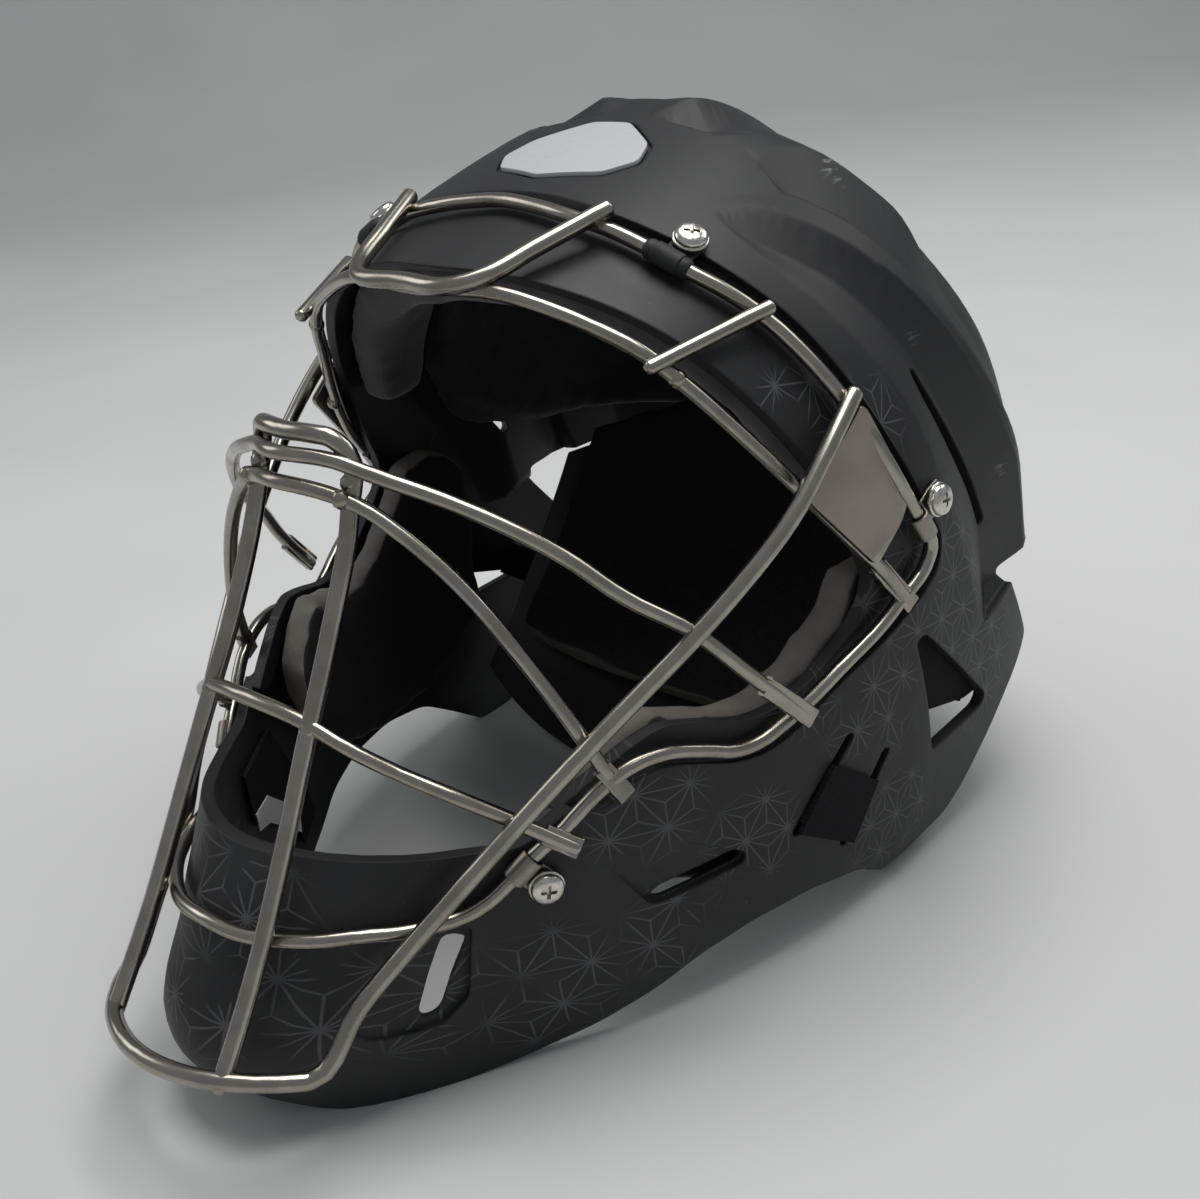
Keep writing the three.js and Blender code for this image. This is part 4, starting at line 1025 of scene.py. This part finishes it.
# ---- clips and screws ----
# Each clip is a strap bent round the rim wire with a dome-headed cross-slot screw through its tail
# and the shell.  The two at the brow are black and hold the wire in a rubber sleeve.
CLIP_HALF = 4.5
CLIP_HALF_THICK = 0.5
CLIP_REACH = LIGHT_WIRE + 0.35 + CLIP_HALF_THICK
SLEEVE_HALF = 6.5
SLEEVE_R = LIGHT_WIRE + 0.9
SCREW_R = 5.0
WASHER_R = 5.5
SCREW_LIFT = 2.25
SCREW_SIDES = 40
SLOT_HALF = (0.56 * SCREW_R, 0.62)
SLOT_HEIGHTS = ((1.9, 0.62), (4.6, 1.0))    # height over the seat, and the share of its width
SQUARE = ((1, 1), (-1, 1), (-1, -1), (1, -1))
HARDWARE = [
    # name, wire point, next wire point, the screw's side-view place
    ["top", [64.5, 11.4, 224.9], [71, 12.5, 221.5], [20.4, 226.6]],
    ["side", [122.1, 50.5, 137], [122.5, 54, 130], [57.5, 142.8]],
    ["lower", [71, -86.5, 74.5], [67.6, -91.6, 69.6], [-80, 66]],
]


def screw_seat(screw_place):
    """A screw's place on the shell, and the way that it faces."""
    base = on_shell(*screw_place, 0)
    return base, unit(on_shell(*screw_place, 1) - base)


def clip_strap(wire, following, screw_place):
    """A strap that is bent round the rim wire and runs on flat under the screw."""
    base, normal = screw_seat(screw_place)
    along = np.subtract(following, wire)
    along = unit(along - normal * along.dot(normal))
    toward = base - wire
    toward = unit(toward - normal * toward.dot(normal) - along * toward.dot(along))
    path = [
        np.array(wire) + CLIP_REACH * (toward * math.cos(a) + normal * math.sin(a))
        for a in np.radians(np.arange(195, 29, -15))
    ]
    path += [base + normal * 0.8 + toward * reach for reach in (-WASHER_R, 0, WASHER_R * 0.9)]
    rings = []
    last = len(path) - 1
    for i, at in enumerate(path):
        thick = np.cross(along, unit(path[min(i + 1, last)] - path[max(i - 1, 0)]))
        half = CLIP_HALF * (0.8 if i == last else 1)
        section = bar_section(half, CLIP_HALF_THICK, half * 0.93, CLIP_HALF_THICK * 0.6)
        rings.append([at + along * a + thick * b for a, b in section])
    return lofted(rings)


def screw_body(screw_place):
    """A washer and a domed head with a cross cut in it, seated on the clip."""
    base, normal = screw_seat(screw_place)
    u = unit(np.cross(normal, [0.2, 0.1, 1.0]))
    v = np.cross(normal, u)
    seat = base + normal * SCREW_LIFT
    rows = [
        (WASHER_R - 0.3, 0), (WASHER_R, 0.3), (WASHER_R, 0.9), (WASHER_R - 0.3, 1.2),
        (SCREW_R, 1.2), (SCREW_R + 0.02, 1.9), (SCREW_R * 0.96, 2.5), (SCREW_R * 0.86, 3.05),
        (SCREW_R * 0.66, 3.5), (SCREW_R * 0.36, 3.75), (SCREW_R * 0.08, 3.8),
    ]
    angles = np.arange(SCREW_SIDES) / SCREW_SIDES * math.tau
    head = solid("head", *lofted([
        seat + r * (np.cos(angles)[:, None] * u + np.sin(angles)[:, None] * v) + normal * h
        for r, h in rows
    ]))
    for first, second in ((u, v), (v, u)):
        long, wide = first * SLOT_HALF[0], second * SLOT_HALF[1]
        carve(head, lofted([
            [seat + (long * a + wide * b) * spread + normal * h for a, b in SQUARE]
            for h, spread in SLOT_HEIGHTS
        ]))
    return head


steel_finish, steel_shader, place = new_finish("bright_steel", {"Metallic": 1.0})
scratches = place.noise(600.0, 3.0)
colour = between(scratches.ramp(0.3, 0.7), (0.72, 0.70, 0.64, 1), (0.55, 0.53, 0.47, 1))
into(
    steel_shader, Base_Color=colour,
    Roughness=0.14 + scratches * 0.14,
    Normal=relief(scratches, 0.00003, 0.4, rounded_edge=0.0003),
)
clip_finish, clip_shader, place = new_finish("clip_steel", {"Metallic": 1.0})
cloud = place.noise(300.0, 3.0)
into(
    clip_shader, Base_Color=between(cloud, (0.34, 0.31, 0.27, 1), (0.24, 0.215, 0.18, 1)),
    Roughness=0.28 + cloud * 0.14,
    Normal=relief(place.noise(1200.0, 2.0), 0.00003, 0.5, rounded_edge=0.0004),
)
rubber_finish, rubber_shader, place = new_finish("black_rubber", {"Specular IOR Level": 0.35})
into(
    rubber_shader,
    Base_Color=between(place.noise(200.0), (0.010, 0.010, 0.010, 1), (0.022, 0.022, 0.022, 1)),
    Roughness=0.5 + place.noise(400.0) * 0.2,
    Normal=relief(place.noise(1500.0), 0.00004, 0.5, rounded_edge=0.0005),
)
for name, wire, following, screw_place in HARDWARE:
    body = clip_strap(wire, following, screw_place)
    if name == "top":
        reach = unit(np.subtract(following, wire)) * SLEEVE_HALF
        body = joined([body, bent_wire([wire - reach, wire, wire + reach], SLEEVE_R)])
    for side in ("left", "right"):
        clip = solid(f"clip_{name}_{side}_strap", *(body if side == "left" else mirrored(body)))
        shaded(clip, 45)
        dress(clip, rubber_finish if name == "top" else clip_finish)
        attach(clip, "root")
        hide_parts(f"clip_{name}_{side}")
        head = screw_body(screw_place)
        if side == "right":
            head.data.transform(Matrix.Scale(-1, 4, Vector((1, 0, 0))))
            head.data.flip_normals()
        head.name = f"screw_{name}_{side}_head"
        shaded(head, 40)
        dress(head, steel_finish)
        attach(head, "root")
        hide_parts(f"screw_{name}_{side}")

# ---- foam pads ----
# Cut foam behind thin knit cloth: a thick pad across the brow, a pad in each jaw wing whose cut
# edges show grey foam, a black liner in the crown and a soft pad on the back plate, all stuck in.
PAD_GAP = 0.5
BROW_THICK = 19
JAW_THICK = 15
CROWN_OUTER = 4.2              # the crown liner's two faces, in from the other pads' outer face
CROWN_INNER = 10
BACK_THICK = 20
PAD_OUTER = -(WALL + RECESS + PAD_GAP)
BROW_PAD_OUTLINE = [
    [26, 152], [18, 170], [7, 193], [-1, 208], [-7, 217], [-12, 223], [-16, 228], [-20, 262],
    [24, 262], [33, 235], [41, 212], [48, 185], [50, 152],
]
JAW_PAD_OUTLINE = [
    [-60, 86], [-52, 99], [-41, 107], [-30, 104], [-16, 99], [-6, 98], [8, 104], [22, 114],
    [29, 120], [32, 127], [48, 128], [60, 124], [70, 112], [72, 96], [62, 46], [22, 30],
    [-24, 34], [-46, 46], [-58, 68],
]
CROWN_PAD_OUTLINE = [
    [28, 262], [37, 235], [45, 212], [52, 185], [54, 156], [66, 134], [78, 124], [92, 119],
    [112, 112], [200, 110], [200, 262],
]
PAD_VOXEL = 0.0042
PAD_PRESSURE = 3.0
PAD_TUCK = 0.0006              # how far a pad is drawn in before it puffs up
PAD_FRAMES = 20


def skin_slab(name, outline, outer, inner, x_from=-160.0, x_to=160.0, around=110):
    """A slab that follows the inside of the shell, cut to a side-view outline."""
    piece = solid(name, *shell_body(outer, around, 0, 26, 34))
    carve(piece, shell_body(inner, around, -5, 26, 34))
    return carve(piece, across_prism(outline, x_from, x_to), "INTERSECT")


def places_of(mesh):
    """A mesh's points as rows of three."""
    flat = np.empty(len(mesh.vertices) * 3)
    mesh.vertices.foreach_get("co", flat)
    return flat.reshape(-1, 3)


def stuffed(piece, most):
    """Puffs a foam pad up: a fine mesh, a short cloth pass, and a limit on how far it goes."""
    remesh = piece.modifiers.new("even", "REMESH")
    remesh.mode = "VOXEL"
    remesh.voxel_size = PAD_VOXEL
    smooth = piece.modifiers.new("ease", "CORRECTIVE_SMOOTH")
    smooth.factor = 0.5
    smooth.iterations = 6
    smooth.use_only_smooth = True
    applied(piece)
    normals = np.empty(len(piece.data.vertices) * 3)
    piece.data.vertex_normals.foreach_get("vector", normals)
    start = places_of(piece.data) - normals.reshape(-1, 3) * PAD_TUCK
    piece.data.vertices.foreach_set("co", start.ravel())
    cloth = piece.modifiers.new("cloth", "CLOTH")
    cloth.settings.use_pressure = True
    cloth.settings.uniform_pressure_force = PAD_PRESSURE
    cloth.settings.effector_weights.gravity = 0
    cloth.settings.quality = 4
    scene = bpy.context.scene
    for step in range(1, PAD_FRAMES + 1):
        scene.frame_set(step)
    applied(piece)
    scene.frame_set(1)
    moved = places_of(piece.data) - start
    length = np.linalg.norm(moved, axis=1, keepdims=True)
    moved *= np.minimum(1, most / np.maximum(length, 1e-9))
    piece.data.vertices.foreach_set("co", (start + moved).ravel())
    finer = piece.modifiers.new("finer", "SUBSURF")
    finer.levels = finer.render_levels = 1
    applied(piece)
    piece.data.shade_smooth()
    return piece


knit_finish, knit_shader, place = new_finish(
    "brow_knit", {"Roughness": 0.9, "Sheen Weight": 0.25, "Sheen Roughness": 0.5},
)
x, y, z = place.split()
KNIT = 2 * math.pi / 0.0011
rows_of_knit = x.maths("SINE", x * KNIT) * y.maths("SINE", (y + z) * KNIT)
worn = place.noise(60.0, 4.0).ramp(0.35, 0.7)
into(
    knit_shader,
    Base_Color=between(worn, (0.030, 0.026, 0.028, 1), (0.055, 0.048, 0.048, 1)),
    Normal=relief(rows_of_knit * 0.5 + place.noise(900.0) * 0.6, 0.00012, 0.7),
)
foam_finish, foam_shader, place = new_finish("grey_foam", {"Roughness": 0.95})
cells = place.node("ShaderNodeTexVoronoi", {}, {"Vector": place, "Scale": 1100.0})
soiled = place.noise(38.0, 5.0, 0.6).ramp(0.3, 0.75)
sideways = place.node("ShaderNodeNewGeometry", output="Normal").split()[0]
cloth_face = sideways.maths("ABSOLUTE", sideways).ramp(0.62, 0.8)
bare = between(soiled, (0.20, 0.182, 0.155, 1), (0.115, 0.105, 0.090, 1))
into(
    foam_shader,
    Base_Color=between(cloth_face, bare, (0.012, 0.011, 0.012, 1)),
    Normal=relief(cells * 0.7 + place.noise(1500.0) * 0.5, 0.00018, 0.8),
)
back_finish, back_shader, place = new_finish("back_pad_cloth", {"Roughness": 0.95})
facing = place.node("ShaderNodeNewGeometry", output="Normal")
toward_head = facing.vector("DOT_PRODUCT", (0, -0.65, 0.76))
creases = place.noise(48.0, 4.0, 0.6)
foam_edge = between(place.noise(60.0, 4.0), (0.085, 0.080, 0.072, 1), (0.13, 0.125, 0.112, 1))
into(
    back_shader,
    Base_Color=between(toward_head.ramp(0.45, 0.75), foam_edge, (0.010, 0.009, 0.011, 1)),
    Normal=relief(creases + place.noise(1200.0) * 0.02, 0.006, 0.8),
)
liner_finish, liner_shader, place = new_finish(
    "black_liner", {"Roughness": 0.95, "Sheen Weight": 0.15, "Sheen Roughness": 0.6},
)
into(
    liner_shader,
    Base_Color=between(place.noise(80.0, 4.0), (0.004, 0.004, 0.005, 1), (0.012, 0.012, 0.012, 1)),
    Normal=relief(place.noise(40.0, 3.0) + place.noise(1300.0, 3.0) * 0.03, 0.004, 0.7),
)


def pad(name, piece, node, finish, most):
    """Stuffs a pad, no point moving further than `most`, and gives it its finish and its part."""
    stuffed(piece, most)
    piece.name = name
    dress(piece, finish)
    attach(piece, "root")
    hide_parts(node)


pad(
    "brow_pad_knit", skin_slab("brow", BROW_PAD_OUTLINE, PAD_OUTER, PAD_OUTER - BROW_THICK),
    "brow_pad", knit_finish, 0.0016,
)
for side, x_from, x_to in (("left", 20, 160), ("right", -160, -20)):
    pad(
        f"cheek_foam_{side}",
        skin_slab("cheek", JAW_PAD_OUTLINE, PAD_OUTER, PAD_OUTER - JAW_THICK, x_from, x_to),
        f"cheek_pad_{side}", foam_finish, 0.0012,
    )
pad(
    "crown_liner",
    skin_slab("crown", CROWN_PAD_OUTLINE, PAD_OUTER - CROWN_OUTER, PAD_OUTER - CROWN_INNER),
    "crown_pad", liner_finish, 0.0016,
)
back_pad = solid("back", *plate_slab(
    PLATE_THICK + 1.2, PLATE_THICK + BACK_THICK, (-0.93, 0.93), (0.21, 1.03),
))
pad("back_pad_soft", back_pad, "back_pad", back_finish, 0.0025)

# ---- webbing ----
# Flat nylon webbing: a tab through the two slots of each jaw wing, the elastic that ties the back
# plate to the jaw behind the side window, and the chin strap's anchor with its loose end.
TAB_THICK = 1.6
SEAT_GAP = 0.3
TAB_OUTLINE = [[10, 69.5], [30, 53.5], [19.5, 34], [-3, 49]]
TAB_LEG_FRONT = [[9.0, 65.6], [10.2, 64.8], [0.2, 51.6], [-1.0, 52.4]]
TAB_LEG_REAR = [[27.7, 52.4], [28.9, 51.6], [19.4, 37.6], [18.3, 38.4]]
REAR_STRAP_OUTLINE = [[44, 94], [46, 68], [90, 53], [98, 52], [99, 65], [62, 96]]
INNER_STRAP_OUTLINE = [
    [-93, 66], [-70, 68], [-62, 48], [-57, 40], [-54, 22], [-66, 16], [-70, 38], [-80, 42],
    [-93, 46],
]
STRAP_OUTER = -(WALL + SEAT_GAP)
STRAP_INNER = STRAP_OUTER - TAB_THICK
TAB_OUTER = SEAT_GAP + TAB_THICK
LINK_HALF = 7
FINE = 200                     # points round the shell for the thin bands, which bend with it
webbing_finish, webbing_shader, place = new_finish(
    "black_webbing", {"Roughness": 0.9, "Specular IOR Level": 0.15},
)
x, y, z = place.split()
PICK = 2 * math.pi / 0.0016
weave = x.maths("SINE", (y + z * 0.8) * PICK) * x.maths("SINE", (z - y * 0.8) * PICK)
into(
    webbing_shader,
    Base_Color=between(weave * 0.5 + 0.5, (0.005, 0.005, 0.006, 1), (0.016, 0.016, 0.018, 1)),
    Normal=relief(weave * 0.5 + place.noise(1600.0) * 0.3, 0.0002, 0.8, rounded_edge=0.0005),
)


def webbing(name, piece, node):
    """Gives a cut band its finish and its part."""
    shaded(piece, 40)
    piece.name = name
    dress(piece, webbing_finish)
    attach(piece, "root")
    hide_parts(node)


for side, sign in (("left", 1), ("right", -1)):
    near, far = sorted((60 * sign, 170 * sign))
    tab = skin_slab("tab", TAB_OUTLINE, TAB_OUTER, SEAT_GAP, near, far, FINE)
    for leg in (TAB_LEG_FRONT, TAB_LEG_REAR):
        carve(tab, skin_slab("leg", leg, TAB_OUTER, -WALL - 2, near, far, FINE), "UNION")
    webbing(f"webbing_tab_{side}", tab, f"strap_tab_{side}")
    rear = skin_slab("rear", REAR_STRAP_OUTLINE, STRAP_OUTER, STRAP_INNER, near, far, FINE)
    link = [
        on_shell(93, 57, STRAP_OUTER - TAB_THICK * 0.8), plate_point(1.0, 0.5, -3.2),
        plate_point(0.84, 0.47, -2.4),
    ]
    link_body = strip(link, [0.5, 0.62, -0.6], LINK_HALF, TAB_THICK / 2)
    carve(rear, link_body if sign > 0 else mirrored(link_body), "UNION")
    webbing(f"rear_elastic_{side}", rear, f"rear_strap_{side}")
    near, far = sorted((20 * sign, 160 * sign))
    inner = skin_slab("inner", INNER_STRAP_OUTLINE, STRAP_OUTER, STRAP_INNER, near, far, FINE)
    webbing(f"chin_anchor_{side}", inner, f"inner_strap_{side}")

# ---- care label ----
# A small strip of white satin tape stuck inside the right jaw, left blank.
label_finish, label_shader, place = new_finish("white_tape", {"Roughness": 0.6})
threads = place.noise(1400.0, 2.0)
into(
    label_shader, Base_Color=between(threads, (0.62, 0.62, 0.60, 1), (0.45, 0.45, 0.43, 1)),
    Normal=relief(threads, 0.00005, 0.6),
)
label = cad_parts["care_label"]
dress(label, label_finish)
